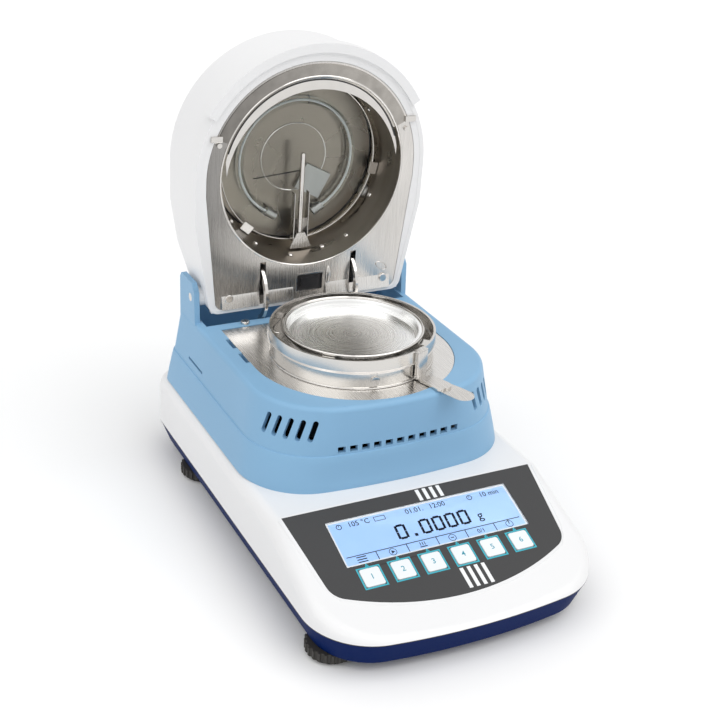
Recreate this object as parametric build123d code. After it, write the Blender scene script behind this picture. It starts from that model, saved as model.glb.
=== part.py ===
from build123d import *
from math import cos, radians, sin, sqrt, tan
import os

os.makedirs("parts", exist_ok=True)

# Moisture analyzer, in millimetres. X is to the right seen from the front, the front faces -Y, +Z is up.
# The origin is on the surface it stands on, under the middle of the instrument with its lid open.

# Housing outline
body_width = 202.0
panel_depth = 104.0
front_deck = 14.5
rear_deck = 16.0
front_bow = 11.5
front_corner = 45.0
rear_corner = 24.0
wall = 3.0
top_round = 9.0

# Heights above the table
tray_floor_z = 9.0
tray_wall = 2.6
seam_z = 27.0
tray_taper = 7.0
deck_z = 64.0

# Control panel: a plane that falls from the deck to the front
panel_tilt = 19.0
foil_thickness = 0.5
foil_half_top = 92.0
foil_half_low = 84.0
foil_side_v = -66.0
foil_front_v = -87.0
foil_top_v = -1.5
foil_corner = 14.0
lcd_width = 133.0
lcd_height = 36.0
lcd_v = -30.5
lcd_glass_thickness = 1.2
module_thickness = 5.0
key_size = 13.4
key_pitch = 21.6
key_v = -59.2
key_height = 3.0
key_proud = 0.7
key_gap = 0.35
key_travel = 0.5
key_corner = 1.6
key_count = 6
board_thickness = 1.6

# Drying housing on the deck
bowl_y = 29.5
house_half_base = 95.0
house_front_base = -49.5
house_rear = 152.0
house_half_top = 86.0
house_front_top = -47.5
house_wall = 3.0
rim_z = 122.0
plate_sink = 1.4
plate_thickness = 1.0
plate_radius = 72.0
plate_rear_y = 94.0
plate_gap = 0.25
well_front_y = 102.6
well_floor_z = 96.0
ear_thickness = 4.0
ear_top_z = 151.0

# Weighing chamber
shield_radius = 56.5
shield_wall = 1.2
shield_top_z = 133.4
lifter_radius = 57.6
lifter_wall = 1.6
lifter_height = 9.0
seat_gap = 0.3
lug_count = 4
lug_width = 9.0
lug_thickness = 1.2
lug_reach = 9.8
handle_angle = -64.0
handle_turn = -14.0
handle_width = 9.0
handle_reach = 26.0
handle_thickness = 1.4
dish_radius = 49.2
dish_floor_radius = 44.5
dish_depth = 7.0
dish_wall = 0.8
carrier_arm = 40.0
carrier_width = 7.0
carrier_thickness = 2.0
spindle_radius = 4.0

# Hinge and lid, modelled shut and then turned open
hinge_y = 120.0
hinge_z = 139.0
lid_open = 87.6
lid_plane_z = 125.0
hinge_pin_radius = 3.0
hinge_running_gap = 0.05
hood_radius = 88.0
hood_ear_gap = 6.0
hood_depth = 64.0
hood_wall = 3.0
hood_rear_reach = 100.0
hood_taper_start = 30.0
hood_slope_start = 48.0
hood_slope_low = 24.0
hood_edge_drop = 0.6
hood_ledge = 3.0
hood_ledge_thickness = 2.0
hood_round = 13.0
hood_inner_round = 6.0
lip_outer = 93.0
lip_inner = 86.6
lip_drop = 2.5
lip_height = 9.0
lip_span = 118.0
lid_plate_thickness = 1.2
lid_plate_half = 80.0
lid_plate_border = 4.5
lid_plate_setback = 3.0
opening_radius = 69.6
drum_depth = 36.0
drum_wall = 1.0
drum_back_radius = 62.5
guide_radius = 22.0
guide_width = 4.0
guide_thickness = 2.4
guide_x = 36.0
guide_slot_width = 4.4
guide_slot_start = 62.0
guide_slot_end = 90.0
window_width = 20.0
window_start = 78.0
window_end = 91.0
window_x = 1.5

# Lamp, glass and sensor in the lid
glass_radius = 60.0
glass_thickness = 2.4
glass_level = 25.5
lamp_radius = 44.0
lamp_tube = 2.8
lamp_level = 31.6
lamp_gap_angle = 62.0
sensor_radius = 1.8
sensor_tip = 8.0
sensor_root = -65.0
sensor_level = 21.0
sensor_x = 1.0

# Levelling feet
foot_inset_x = 19.0
foot_inset_front = 44.0
foot_inset_rear = 64.0
foot_wheel_radius = 17.0
foot_wheel_height = 6.4
foot_pad_radius = 14.0
foot_pad_height = 2.0
foot_pad_gap = 0.3
stud_radius = 4.0
stud_length = 13.0
foot_knurls = 24
knurl_radius = 1.5

# Inner parts and screws
screw_head_radius = 3.2
screw_head_height = 2.2
screw_shank_radius = 1.5
cell_length = 90.0
cell_width = 26.0
cell_height = 16.0
inlet_width = 31.0
inlet_height = 20.5
inlet_depth = 24.0
inlet_x = 52.0
inlet_z = 42.5
socket_width = 31.0
socket_height = 12.5
socket_depth = 12.0
socket_x = -46.0
rear_pocket = 2.2

half_width = body_width / 2
panel_top_y = house_front_base - front_deck
front_y = panel_top_y - panel_depth
rear_y = house_rear + rear_deck
body_depth = rear_y - front_y
foot_x = half_width - foot_inset_x
foot_front_y = front_y + foot_inset_front
foot_rear_y = rear_y - foot_inset_rear
hood_half_rear = house_half_top - ear_thickness - hood_ear_gap
lid_plate_half_rear = hood_half_rear - lid_plate_border
lid_plate_rear = hood_rear_reach - lid_plate_setback
tilt_cos = cos(radians(panel_tilt))
panel_plane = Plane(
    origin=(0, panel_top_y, deck_z),
    x_dir=(1, 0, 0),
    z_dir=(0, -sin(radians(panel_tilt)), tilt_cos),
)


def block(low, high):
    """Box between two corners."""
    size = [h - l for l, h in zip(low, high)]
    middle = [(h + l) / 2 for l, h in zip(low, high)]
    return Pos(*middle) * Box(*size)


def rod(radius, start, end):
    """Round bar between two points."""
    line = Vector(*end) - Vector(*start)
    return Solid.make_cylinder(radius, line.length, Plane(origin=start, z_dir=line))


def tube(outer, inner, low, high, x=0.0, y=0.0):
    """Upright ring between two heights."""
    ring = rod(outer, (x, y, low), (x, y, high))
    return ring - rod(inner, (x, y, low - 1), (x, y, high + 1))


def group(shapes):
    """Separate solids kept in one node."""
    solids = [solid for shape in shapes for solid in shape.solids()]
    return Compound(children=solids)


def save(name, shape):
    """Write one node."""
    export_step(shape, f"parts/{name}.step")


def body_outline(inset):
    """Plan of the housing: a rounded rectangle with a bowed front, moved in by inset."""
    half = half_width - inset
    bow_radius = half_width ** 2 / (2 * front_bow) - inset
    bow_centre = front_y + inset + bow_radius
    rectangle = Pos(0, (front_y + rear_y) / 2) * Rectangle(2 * half, body_depth - 2 * inset)
    plan = rectangle & (Pos(0, bow_centre) * Circle(bow_radius))
    front = plan.vertices().sort_by(Axis.Y)[:2]
    plan = fillet(front, front_corner - inset)
    rear = plan.vertices().sort_by(Axis.Y)[-2:]
    return fillet(rear, rear_corner - inset)


def body_profile(inset):
    """Side view of the upper housing, moved in by inset."""
    fold = inset * tan(radians(panel_tilt / 2))
    low_front = deck_z - inset / tilt_cos + (front_y - panel_top_y) * tan(radians(panel_tilt))
    outline = Polyline(
        (front_y, seam_z - inset),
        (front_y, low_front),
        (panel_top_y - fold, deck_z - inset),
        (rear_y, deck_z - inset),
        (rear_y, seam_z - inset),
        close=True,
    )
    side = Plane.YZ * make_face(outline)
    return extrude(side, body_width / 2 + 5, both=True)


# White upper housing
white = extrude(Pos(0, 0, seam_z) * body_outline(0), deck_z - seam_z) & body_profile(0)
white = white.solids()[0]
top_edges = white.edges().filter_by(lambda e: e.center().Z > seam_z + 0.5)
rims = [
    edge for edge in top_edges
    if abs(edge.center().X) > half_width * 0.55
    or edge.center().Y > rear_y - 8
    or edge.center().Y < front_y + 16
]
rims = [edge for edge in rims if edge.bounding_box().size.Z < 1 or edge.bounding_box().size.Y > 20]
white = fillet(ShapeList(rims), top_round)
hollow = extrude(Pos(0, 0, seam_z - wall) * body_outline(wall), deck_z - seam_z) & body_profile(wall)
white = white - hollow


def foil_outline(grow):
    """Outline of the control foil in the panel's plane."""
    top = foil_top_v + grow
    side = foil_side_v - grow
    low = foil_half_low + grow
    outline = Polyline((-low, side), (-foil_half_top - grow, top), (foil_half_top + grow, top), (low, side))
    front = ThreePointArc((low, side), (0, foil_front_v - grow), (-low, side))
    face = make_face([*outline.edges(), front])
    return fillet(face.vertices().sort_by(Axis.Y)[:2], foil_corner + grow)


def key_places():
    """Middle of each key in the panel's plane."""
    return [((i - (key_count - 1) / 2) * key_pitch, key_v) for i in range(key_count)]


def on_panel(sketch, low, high):
    """Solid between two levels above the panel's plane."""
    return extrude(panel_plane * (Pos(0, 0, low) * sketch), high - low, dir=panel_plane.z_dir)


foil_gap = 0.15
white = white - on_panel(foil_outline(foil_gap), -foil_thickness, 12.0)
window = Pos(0, lcd_v) * Rectangle(lcd_width, lcd_height)
white = white - on_panel(window, -wall * 3, 1.0)
key_hole = RectangleRounded(key_size + 2 * key_gap, key_size + 2 * key_gap, key_corner)
for key_x, key_y in key_places():
    white = white - on_panel(Pos(key_x, key_y) * key_hole, -wall * 3, 1.0)

# Opening in the deck under the drying housing
deck_open_half = 70.0
deck_open_front = -22.0
deck_open_rear = 138.0
white = white - block(
    (-deck_open_half, deck_open_front, deck_z - 2 * wall),
    (deck_open_half, deck_open_rear, deck_z + 1),
)

# Shallow field at the rear with openings for the mains inlet and the serial socket
rear_half = half_width - rear_corner
socket_gap = 0.4
white = white - block(
    (-rear_half, rear_y - rear_pocket, seam_z + wall),
    (rear_half, rear_y + 1, deck_z - top_round),
)
rear_field_y = rear_y - rear_pocket
rear_skin = 2.5
white = white + block(
    (-rear_half, rear_field_y - rear_skin, seam_z),
    (rear_half, rear_field_y, deck_z - top_round),
)
white = white - block(
    (inlet_x - inlet_width / 2 - socket_gap, rear_y - 12, inlet_z - inlet_height / 2 - socket_gap),
    (inlet_x + inlet_width / 2 + socket_gap, rear_y + 1, inlet_z + inlet_height / 2 + socket_gap),
)
white = white - block(
    (socket_x - socket_width / 2 - socket_gap, rear_y - 12, inlet_z - socket_height / 2 - socket_gap),
    (socket_x + socket_width / 2 + socket_gap, rear_y + 1, inlet_z + socket_height / 2 + socket_gap),
)
save("upper_housing", white.solids().sort_by(SortBy.VOLUME)[-1])

# Control foil with its window and key openings
foil = on_panel(foil_outline(0), -foil_thickness, 0)
foil = foil - on_panel(window, -2, 2)
for key_x, key_y in key_places():
    foil = foil - on_panel(Pos(key_x, key_y) * key_hole, -2, 2)
save("panel_foil", foil)

# Display window and the display module behind it
lcd_gap = 0.2
pane = Pos(0, lcd_v) * Rectangle(lcd_width - 2 * lcd_gap, lcd_height - 2 * lcd_gap)
window_sink = 0.1
module_level = -window_sink - lcd_glass_thickness
save("display_window", on_panel(pane, module_level, -window_sink))
module = on_panel(pane, module_level - module_thickness, module_level)
frame_rim = Pos(0, lcd_v) * Rectangle(lcd_width + 8, lcd_height + 5)
module_low = min(module_level - module_thickness, -wall - foil_thickness - 1.5)
module = module + on_panel(frame_rim, module_low - 1.5, module_low)
save("display_module", module)

# Keys: square caps on stems that stand on the key board
stem_size = 5.0
key_stem = 4.0
for index, (key_x, key_y) in enumerate(key_places()):
    key_face = Pos(key_x, key_y) * RectangleRounded(key_size, key_size, key_corner)
    cap = on_panel(key_face, -key_height, key_proud)
    crown = cap.edges().group_by(lambda e: e.center().dot(panel_plane.z_dir))[-1]
    cap = fillet(crown, 0.4)
    stem_face = Pos(key_x, key_y) * Rectangle(stem_size, stem_size)
    stem = on_panel(stem_face, -key_height - key_stem, -key_height)
    save(f"key_{index + 1}", (cap + stem).solids()[0])

switch_gap = key_travel + 0.1
switch_top = -key_height - key_stem - switch_gap
switch_size = 6.0
switch_height = 2.6
board_top = switch_top - switch_height
board_half = key_pitch * key_count / 2 + 2
post_radius = 2.0
post_inset = 3.5
board_face = Pos(0, key_v) * Rectangle(2 * board_half, key_size)
board = on_panel(board_face, board_top - board_thickness, board_top)
for key_x, key_y in key_places():
    switch = Pos(key_x, key_y) * Rectangle(switch_size, switch_size)
    board = board + on_panel(switch, board_top - 0.1, switch_top)
for side in (-1, 1):
    post = Pos(side * (board_half - post_inset), key_v) * Circle(post_radius)
    board = board + on_panel(post, board_top - 0.1, -wall - seat_gap)
save("key_board", board.solids().sort_by(SortBy.VOLUME)[-1])

# Dark-blue tray: its walls lean in towards the floor
tray_top = Pos(0, 0, seam_z) * body_outline(0)
tray_low = Pos(0, 0, tray_floor_z) * body_outline(tray_taper)
tray = loft([tray_low.faces()[0], tray_top.faces()[0]], ruled=True)
inner_top = Pos(0, 0, seam_z + 0.01) * body_outline(tray_wall)
inner_low = Pos(0, 0, tray_floor_z + tray_wall) * body_outline(tray_taper + tray_wall)
tray = tray - loft([inner_low.faces()[0], inner_top.faces()[0]], ruled=True)
foot_places = [(sx * foot_x, y) for y in (foot_front_y, foot_rear_y) for sx in (-1, 1)]
boss_radius = 8.0
boss_top_z = 25.0
thread_gap = 0.05
for x, y in foot_places:
    tray = tray + rod(boss_radius, (x, y, tray_floor_z), (x, y, boss_top_z))
    tray = tray - rod(stud_radius + thread_gap, (x, y, tray_floor_z - 1), (x, y, boss_top_z + 1))
bottom_slots = 7
for i in range(bottom_slots):
    slot = Pos((i - (bottom_slots - 1) / 2) * 9, 40, tray_floor_z) * Box(3, 46, 4 * tray_wall)
    tray = tray - slot
tray = tray.solids().sort_by(SortBy.VOLUME)[-1]

# Levelling feet: pad, and a knurled wheel on a stud
wheel_low = foot_pad_height + foot_pad_gap
wheel_top = wheel_low + foot_wheel_height
names = ["front_left", "front_right", "rear_left", "rear_right"]
pivot_radius = 3.0
pivot_depth = 3.0
for name, (x, y) in zip(names, foot_places):
    wheel = rod(foot_wheel_radius, (x, y, wheel_low), (x, y, wheel_top))
    wheel = fillet(wheel.edges().group_by(Axis.Z)[0], 1.0)
    ring = PolarLocations(foot_wheel_radius, foot_knurls)
    groove = rod(knurl_radius, (0, 0, wheel_low - 1), (0, 0, wheel_top + 1))
    wheel = wheel - [Pos(x, y) * place * groove for place in ring]
    wheel = wheel + rod(stud_radius, (x, y, wheel_top - 0.5), (x, y, wheel_top + stud_length))
    socket_top = wheel_low + pivot_depth + 0.4
    socket = rod(pivot_radius + hinge_running_gap, (x, y, wheel_low - 1), (x, y, socket_top))
    save(f"foot_wheel_{name}", (wheel - socket).solids()[0])
    pad = rod(foot_pad_radius, (x, y, 0), (x, y, foot_pad_height))
    pad = fillet(pad.edges().group_by(Axis.Z)[0], 0.6)
    pad = pad + rod(pivot_radius, (x, y, foot_pad_height - 0.5), (x, y, wheel_low + pivot_depth))
    save(f"foot_pad_{name}", pad.solids()[0])


# Drying housing: a squarish foot that rises to a rounder rim
def house_base(inset):
    """Plan of the drying housing on the deck."""
    half = house_half_base - inset
    front = house_front_base + inset
    rear = house_rear - inset
    shape = Pos(0, (front + rear) / 2) * Rectangle(2 * half, rear - front)
    bow = half ** 2 / (2 * 9.0)
    shape = shape & (Pos(0, front + bow) * Circle(bow))
    shape = fillet(shape.vertices().sort_by(Axis.Y)[:2], 46.0 - inset)
    return fillet(shape.vertices().sort_by(Axis.Y)[-2:], 12.0 - inset)


def house_top(inset):
    """Plan of the drying housing at the rim."""
    half = house_half_top - inset
    front = house_front_top + inset
    rear = house_rear - 3.0 - inset
    shape = Pos(0, (front + rear) / 2) * Rectangle(2 * half, rear - front)
    bow = half ** 2 / (2 * 14.0)
    shape = shape & (Pos(0, front + bow) * Circle(bow))
    shape = fillet(shape.vertices().sort_by(Axis.Y)[:2], 56.0 - inset)
    return fillet(shape.vertices().sort_by(Axis.Y)[-2:], 12.0 - inset)


def house_solid(inset, low, high, top_z):
    """Loft from the plan on the deck to the plan at the rim."""
    base = Pos(0, 0, low) * house_base(inset)
    top = Pos(0, 0, top_z) * house_top(inset)
    return loft([base.faces()[0], top.faces()[0]], ruled=True)


house = house_solid(0, deck_z, rim_z, rim_z)
rim_edges = house.edges().filter_by(lambda e: e.center().Z > rim_z - 0.1)
house = fillet(rim_edges, 4.0)
house = house - house_solid(house_wall, deck_z - 0.01, rim_z - house_wall - 2, rim_z - house_wall - 2.4)

# Well behind the chamber for the rear of the lid, and the two hinge ears
well_half = house_half_top - ear_thickness - 2.0
well_rear_y = house_rear - 6.0
well_outer = block(
    (-well_half - house_wall, well_front_y - house_wall, well_floor_z - house_wall),
    (well_half + house_wall, well_rear_y + house_wall, rim_z - house_wall - 1),
)
house = house + well_outer
house = house - block((-well_half, well_front_y, well_floor_z), (well_half, well_rear_y, rim_z + 1))
ear_rear_y = house_rear - 10.0
ear_front_y = hinge_y - 10.0
ear_side = make_face(Polyline(
    (ear_front_y, rim_z - 10),
    (ear_front_y + 2, ear_top_z - 6),
    (ear_front_y + 7, ear_top_z),
    (ear_rear_y - 3, ear_top_z),
    (ear_rear_y, ear_top_z - 4),
    (ear_rear_y, rim_z - 10),
    close=True,
))
ear = extrude(Plane.YZ * ear_side, ear_thickness)
for side in (-1, 1):
    start = house_half_top - ear_thickness if side > 0 else -house_half_top
    house = house + Pos(start, 0, 0) * ear
house = house - rod(
    hinge_pin_radius,
    (-house_half_top - 2, hinge_y, hinge_z),
    (house_half_top + 2, hinge_y, hinge_z),
)


def plate_outline(grow):
    """D-shaped steel plate: round at the front, straight at the rear."""
    radius = plate_radius + grow
    half = Pos(0, (bowl_y + plate_rear_y) / 2) * Rectangle(2 * radius, plate_rear_y - bowl_y + 2 * grow)
    return (Pos(0, bowl_y) * Circle(radius)) + half


plate_low_z = rim_z - plate_sink
plate_top_z = plate_low_z + plate_thickness
spindle_hole = spindle_radius + 3.0
house = house - extrude(Pos(0, 0, plate_low_z) * plate_outline(plate_gap), plate_sink + 1)
house = house - rod(spindle_hole + 2, (0, bowl_y, deck_z), (0, bowl_y, rim_z))

# Vents: slanted slots at both front corners, square holes in the front, a long slot in each side
vent_count = 5
vent_step = 5.0
vent_angle = 51.0
vent_z = 106.0
vent_length = 15.0
vent_width = 3.6
vent_slant = 14.0
vent_radius = 90.0
for side in (-1, 1):
    for i in range(vent_count):
        turn = radians(vent_angle + (i - (vent_count - 1) / 2) * vent_step)
        out = Vector(side * sin(turn), -cos(turn), 0)
        place = Plane(origin=Vector(0, bowl_y, vent_z) + out * vent_radius, x_dir=(0, 0, 1), z_dir=out)
        slot = place * (Rot(0, 0, side * vent_slant) * SlotOverall(vent_length, vent_width))
        house = house - extrude(slot, 14, both=True)
grille_count = 11
grille_pitch = 8.4
grille_width = 5.4
grille_height = 4.2
grille_z = 92.5
for i in range(grille_count):
    x = (i - (grille_count - 1) / 2) * grille_pitch
    house = house - Pos(x, house_front_base, grille_z) * Box(grille_width, 24, grille_height)
side_slot_length = 28.0
side_slot_height = 1.8
for side in (-1, 1):
    house = house - Pos(side * house_half_base, 98, 95) * Box(24, side_slot_length, side_slot_height)
edge_slot = 15.0
for y in (46.0, 70.0):
    house = house - Pos(-plate_radius - 1.6, y, rim_z) * Box(3.2, edge_slot, 20)
post_x = 52.0
post_y = (plate_rear_y + well_front_y) / 2
post_places = [(-post_x, post_y), (post_x, post_y)]
for x, y in post_places:
    house = house - rod(screw_shank_radius, (x, y, rim_z - 8), (x, y, rim_z + 1))
save("drying_housing", house.solids().sort_by(SortBy.VOLUME)[-1])


def screw(x, y, z, length):
    """Pan-head screw whose head stands on a surface at z, shank down."""
    head = rod(screw_head_radius, (x, y, z), (x, y, z + screw_head_height))
    head = fillet(head.edges().group_by(Axis.Z)[-1], 0.7)
    slot = Pos(x, y, z + screw_head_height) * Box(0.8, 2 * screw_head_radius + 1, 1.6)
    return head - slot + rod(screw_shank_radius, (x, y, z - length), (x, y, z + 0.1))


save("crossbar_screws", group([screw(x, y, rim_z, 7.5) for x, y in post_places]))

# Steel plate around the chamber
plate = extrude(Pos(0, 0, plate_low_z) * plate_outline(0), plate_thickness)
plate = plate - rod(spindle_hole, (0, bowl_y, plate_low_z - 1), (0, bowl_y, plate_top_z + 1))
save("heat_plate", plate)

# Draft shield: a steel ring that stands on the plate
shield = tube(shield_radius, shield_radius - shield_wall, plate_top_z, shield_top_z, 0, bowl_y)
shield_holes = [-100.0, 20.0, 140.0]
shield_screw_z = (plate_top_z + shield_top_z) / 2
shield_screws = []
for angle in shield_holes:
    out = Vector(cos(radians(angle)), sin(radians(angle)), 0)
    seat = Vector(0, bowl_y, shield_screw_z) + out * shield_radius
    shield = shield - rod(screw_shank_radius, seat - out * 4, seat + out)
    head = rod(screw_head_radius, seat - out * 0.25, seat + out * 1.4)
    shank = rod(screw_shank_radius, seat - out * 4, seat)
    head = head - rod(shield_radius, (0, bowl_y, plate_top_z), (0, bowl_y, shield_top_z))
    shield_screws.append(head + shank)
foot_inner = shield_radius - 6
foot_top = plate_top_z + shield_wall
shield_foot = tube(shield_radius - shield_wall, foot_inner, plate_top_z, foot_top, 0, bowl_y)
save("draft_shield", (shield + shield_foot).solids()[0])
save("shield_screws", group(shield_screws))

# Sample lifter: ring, four inner lugs, strap and handle tab
lifter_low = shield_top_z + seat_gap
lifter_top = lifter_low + lifter_height
ring = tube(lifter_radius, lifter_radius - lifter_wall, lifter_low, lifter_top, 0, bowl_y)
lug_z = lifter_top - 4.4
for k in range(lug_count):
    turn = 45 + k * 360 / lug_count
    lug = block(
        (lifter_radius - lug_reach, -lug_width / 2, lug_z),
        (lifter_radius - lifter_wall / 2, lug_width / 2, lug_z + lug_thickness),
    )
    tip = block(
        (lifter_radius - lug_reach, -lug_width / 2, lug_z),
        (lifter_radius - lug_reach + lug_thickness, lug_width / 2, lug_z + 1.8),
    )
    ring = ring + Pos(0, bowl_y) * Rot(0, 0, turn) * (lug + tip)
tab_low = rim_z + 0.4
strap = block(
    (lifter_radius - 0.4, -handle_width / 2, tab_low),
    (lifter_radius + handle_thickness, handle_width / 2, lifter_top),
)
tab = block(
    (lifter_radius, -handle_width / 2 + 1, tab_low),
    (lifter_radius + handle_reach - handle_width / 2, handle_width / 2 - 1, tab_low + handle_thickness),
)
tab_end = rod(
    handle_width / 2 - 1,
    (lifter_radius + handle_reach - handle_width / 2, 0, tab_low),
    (lifter_radius + handle_reach - handle_width / 2, 0, tab_low + handle_thickness),
)
tab = Pos(lifter_radius, 0) * Rot(0, 0, handle_turn) * Pos(-lifter_radius, 0) * (tab + tab_end)
lifter = ring + Pos(0, bowl_y) * Rot(0, 0, handle_angle) * (strap + tab)
save("sample_lifter", lifter.solids().sort_by(SortBy.VOLUME)[-1])

# Sample dish: a shallow pan with a rolled rim
rim_high = lifter_top - 0.6
dish_floor_z = rim_high - dish_depth
dish_profile = make_face(Polyline(
    (0, dish_floor_z),
    (dish_floor_radius, dish_floor_z),
    (dish_radius - 3.2, rim_high - dish_wall - 0.4),
    (dish_radius, rim_high - dish_wall),
    (dish_radius, rim_high),
    (dish_radius - 3.4, rim_high),
    (dish_floor_radius - dish_wall, dish_floor_z + dish_wall),
    (0, dish_floor_z + dish_wall),
    close=True,
))
dish = Pos(0, bowl_y) * revolve(Plane.XZ * dish_profile, Axis.Z)
save("sample_dish", dish)

# Pan carrier: a cross with four upturned pads on a spindle that stands on the load cell
cell_top_z = 84.0
carrier_top = dish_floor_z - seat_gap
carrier = rod(9.0, (0, bowl_y, carrier_top - carrier_thickness), (0, bowl_y, carrier_top))
for k in range(2):
    bar = Box(2 * carrier_arm, carrier_width, carrier_thickness)
    carrier = carrier + Pos(0, bowl_y, carrier_top - carrier_thickness / 2) * Rot(0, 0, 90 * k) * bar
carrier = carrier + rod(spindle_radius, (0, bowl_y, cell_top_z), (0, bowl_y, carrier_top - 1))
save("pan_carrier", carrier.solids()[0])

# Load cell on its mounting block
cell_front_y = bowl_y - 14
cell_rear_y = cell_front_y + cell_length
cell_low_z = cell_top_z - cell_height
cell = block((-cell_width / 2, cell_front_y, cell_low_z), (cell_width / 2, cell_rear_y, cell_top_z))
cell_mid = (cell_front_y + cell_rear_y) / 2
cell_mid_z = cell_low_z + cell_height / 2
bend_radius = 5.5
bend_half = 12.0
for y in (cell_mid - bend_half, cell_mid + bend_half):
    cell = cell - rod(bend_radius, (-cell_width, y, cell_mid_z), (cell_width, y, cell_mid_z))
cell = cell - block(
    (-cell_width, cell_mid - bend_half, cell_mid_z - 1.5),
    (cell_width, cell_mid + bend_half, cell_mid_z + 1.5),
)
save("load_cell", cell.solids()[0])
inner_floor_z = tray_floor_z + tray_wall
mount_length = 24.0
mount_border = 5.0
mount_foot = 6.0
mount_half = cell_width / 2
mount_front = cell_rear_y - mount_length
mount = block(
    (-mount_half - mount_border, mount_front, inner_floor_z),
    (mount_half + mount_border, cell_rear_y, inner_floor_z + mount_foot),
)
mount = mount + block((-mount_half, mount_front, inner_floor_z), (mount_half, cell_rear_y, cell_low_z))
save("cell_mount", mount)

# Electronics
supply_width = 40.0
supply_length = 64.0
supply_height = 28.0
supply_rear_y = rear_y - 40
supply_low_x = cell_width / 2 + 17
supply_front_y = supply_rear_y - supply_length
supply_top = inner_floor_z + supply_height
supply = block(
    (supply_low_x, supply_front_y, inner_floor_z),
    (supply_low_x + supply_width, supply_rear_y, supply_top),
)
supply_vents = 7
vent_pitch = 4.0
for i in range(supply_vents):
    low_x = supply_low_x + 6 + i * vent_pitch
    supply = supply - block(
        (low_x, supply_front_y + 6, supply_top - 1.5),
        (low_x + 2, supply_rear_y - 6, supply_top + 1),
    )
save("power_supply", supply)
main_half = 62.0
main_length = 76.0
main_rear_y = cell_front_y - 9.5
main_front_y = main_rear_y - main_length
main_low = inner_floor_z + 5
main_top = main_low + board_thickness
pillar_radius = 3.0
pillar_inset = 6.0
main = block((-main_half, main_front_y, main_low), (main_half, main_rear_y, main_top))
for x in (-main_half + pillar_inset, main_half - pillar_inset):
    for y in (main_front_y + pillar_inset, main_rear_y - pillar_inset):
        main = main + rod(pillar_radius, (x, y, inner_floor_z), (x, y, main_low + 0.1))
chip_low = main_top - 0.1
main = main + block((-20, main_front_y + 30, chip_low), (4, main_front_y + 54, main_top + 2.4))
main = main + block((24, main_front_y + 20, chip_low), (40, main_front_y + 50, main_top + 5.4))
save("main_board", main.solids()[0])

# Mains inlet, fuse drawer and serial socket in the rear field
flange = 1.2
inlet_low = (inlet_x - inlet_width / 2, rear_field_y - inlet_depth, inlet_z - inlet_height / 2)
inlet_high = (inlet_x + inlet_width / 2, rear_field_y, inlet_z + inlet_height / 2)
inlet = block(inlet_low, inlet_high)
inlet = inlet + block(
    (inlet_x - inlet_width / 2 - 2, rear_field_y, inlet_z - inlet_height / 2 - 1.5),
    (inlet_x + inlet_width / 2 + 2, rear_field_y + flange, inlet_z + inlet_height / 2 + 1.5),
)
plug_half = 11.8
plug_low = inlet_z - 4.4
plug_high = inlet_z + 9.3
pocket = block((inlet_x - plug_half, rear_y - 20, plug_low), (inlet_x + plug_half, rear_y + 1, plug_high))
inlet = inlet - pocket
pin_length = 15.0
for pin_x, pin_z in ((-7, 1.0), (7, 1.0), (0, 4.6)):
    inlet = inlet + block(
        (inlet_x + pin_x - 1, rear_y - 20.5, inlet_z + pin_z - 2),
        (inlet_x + pin_x + 1, rear_y - 20 + pin_length, inlet_z + pin_z + 2),
    )
fuse_half = 9.0
fuse_low = inlet_z - 9.4
fuse_high = inlet_z - 5.4
fuse_gap = 0.2
inlet = inlet - block(
    (inlet_x - fuse_half - fuse_gap, rear_y - 18, fuse_low - fuse_gap),
    (inlet_x + fuse_half + fuse_gap, rear_y + 1, fuse_high + fuse_gap),
)
save("mains_inlet", inlet.solids()[0])
fuse = block(
    (inlet_x - fuse_half, rear_y - 18 + fuse_gap, fuse_low),
    (inlet_x + fuse_half, rear_field_y + flange + 0.6, fuse_high),
)
save("fuse_drawer", fuse)
serial = block(
    (socket_x - socket_width / 2, rear_field_y - socket_depth, inlet_z - socket_height / 2),
    (socket_x + socket_width / 2, rear_field_y + flange, inlet_z + socket_height / 2),
)
shell_low = Pos(socket_x, rear_field_y + flange, inlet_z) * Box(18, 12, 9.4)
serial = serial - shell_low
serial = serial + Pos(socket_x, rear_field_y - 3, inlet_z) * Box(16, 6.4, 7)
save("serial_socket", serial.solids()[0])
tray_screw_x = 60.0
tray_screw_places = [(sx * tray_screw_x, y) for y in (front_y + 28, rear_y - 18) for sx in (-1, 1)]
for x, y in tray_screw_places:
    tray = tray - rod(screw_shank_radius, (x, y, tray_floor_z - 1), (x, y, tray_floor_z + 8))
    tray = tray - rod(screw_head_radius + 0.4, (x, y, tray_floor_z - 1), (x, y, tray_floor_z + 0.8))
save("base_tray", tray.solids().sort_by(SortBy.VOLUME)[-1])
tray_screws = []
for x, y in tray_screw_places:
    head_low = tray_floor_z - screw_head_height + 0.8
    head = rod(screw_head_radius, (x, y, head_low), (x, y, tray_floor_z + 0.8))
    tray_screws.append(head + rod(screw_shank_radius, (x, y, tray_floor_z), (x, y, tray_floor_z + 7)))
save("tray_screws", group(tray_screws))

# Hinge pins, pressed into the ears
boss_inner_x = hood_half_rear - 5
for name, side in (("left", -1), ("right", 1)):
    start = min(side * boss_inner_x, side * house_half_top)
    end = max(side * boss_inner_x, side * house_half_top)
    save(f"hinge_pin_{name}", rod(hinge_pin_radius, (start, hinge_y, hinge_z), (end, hinge_y, hinge_z)))

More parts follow.
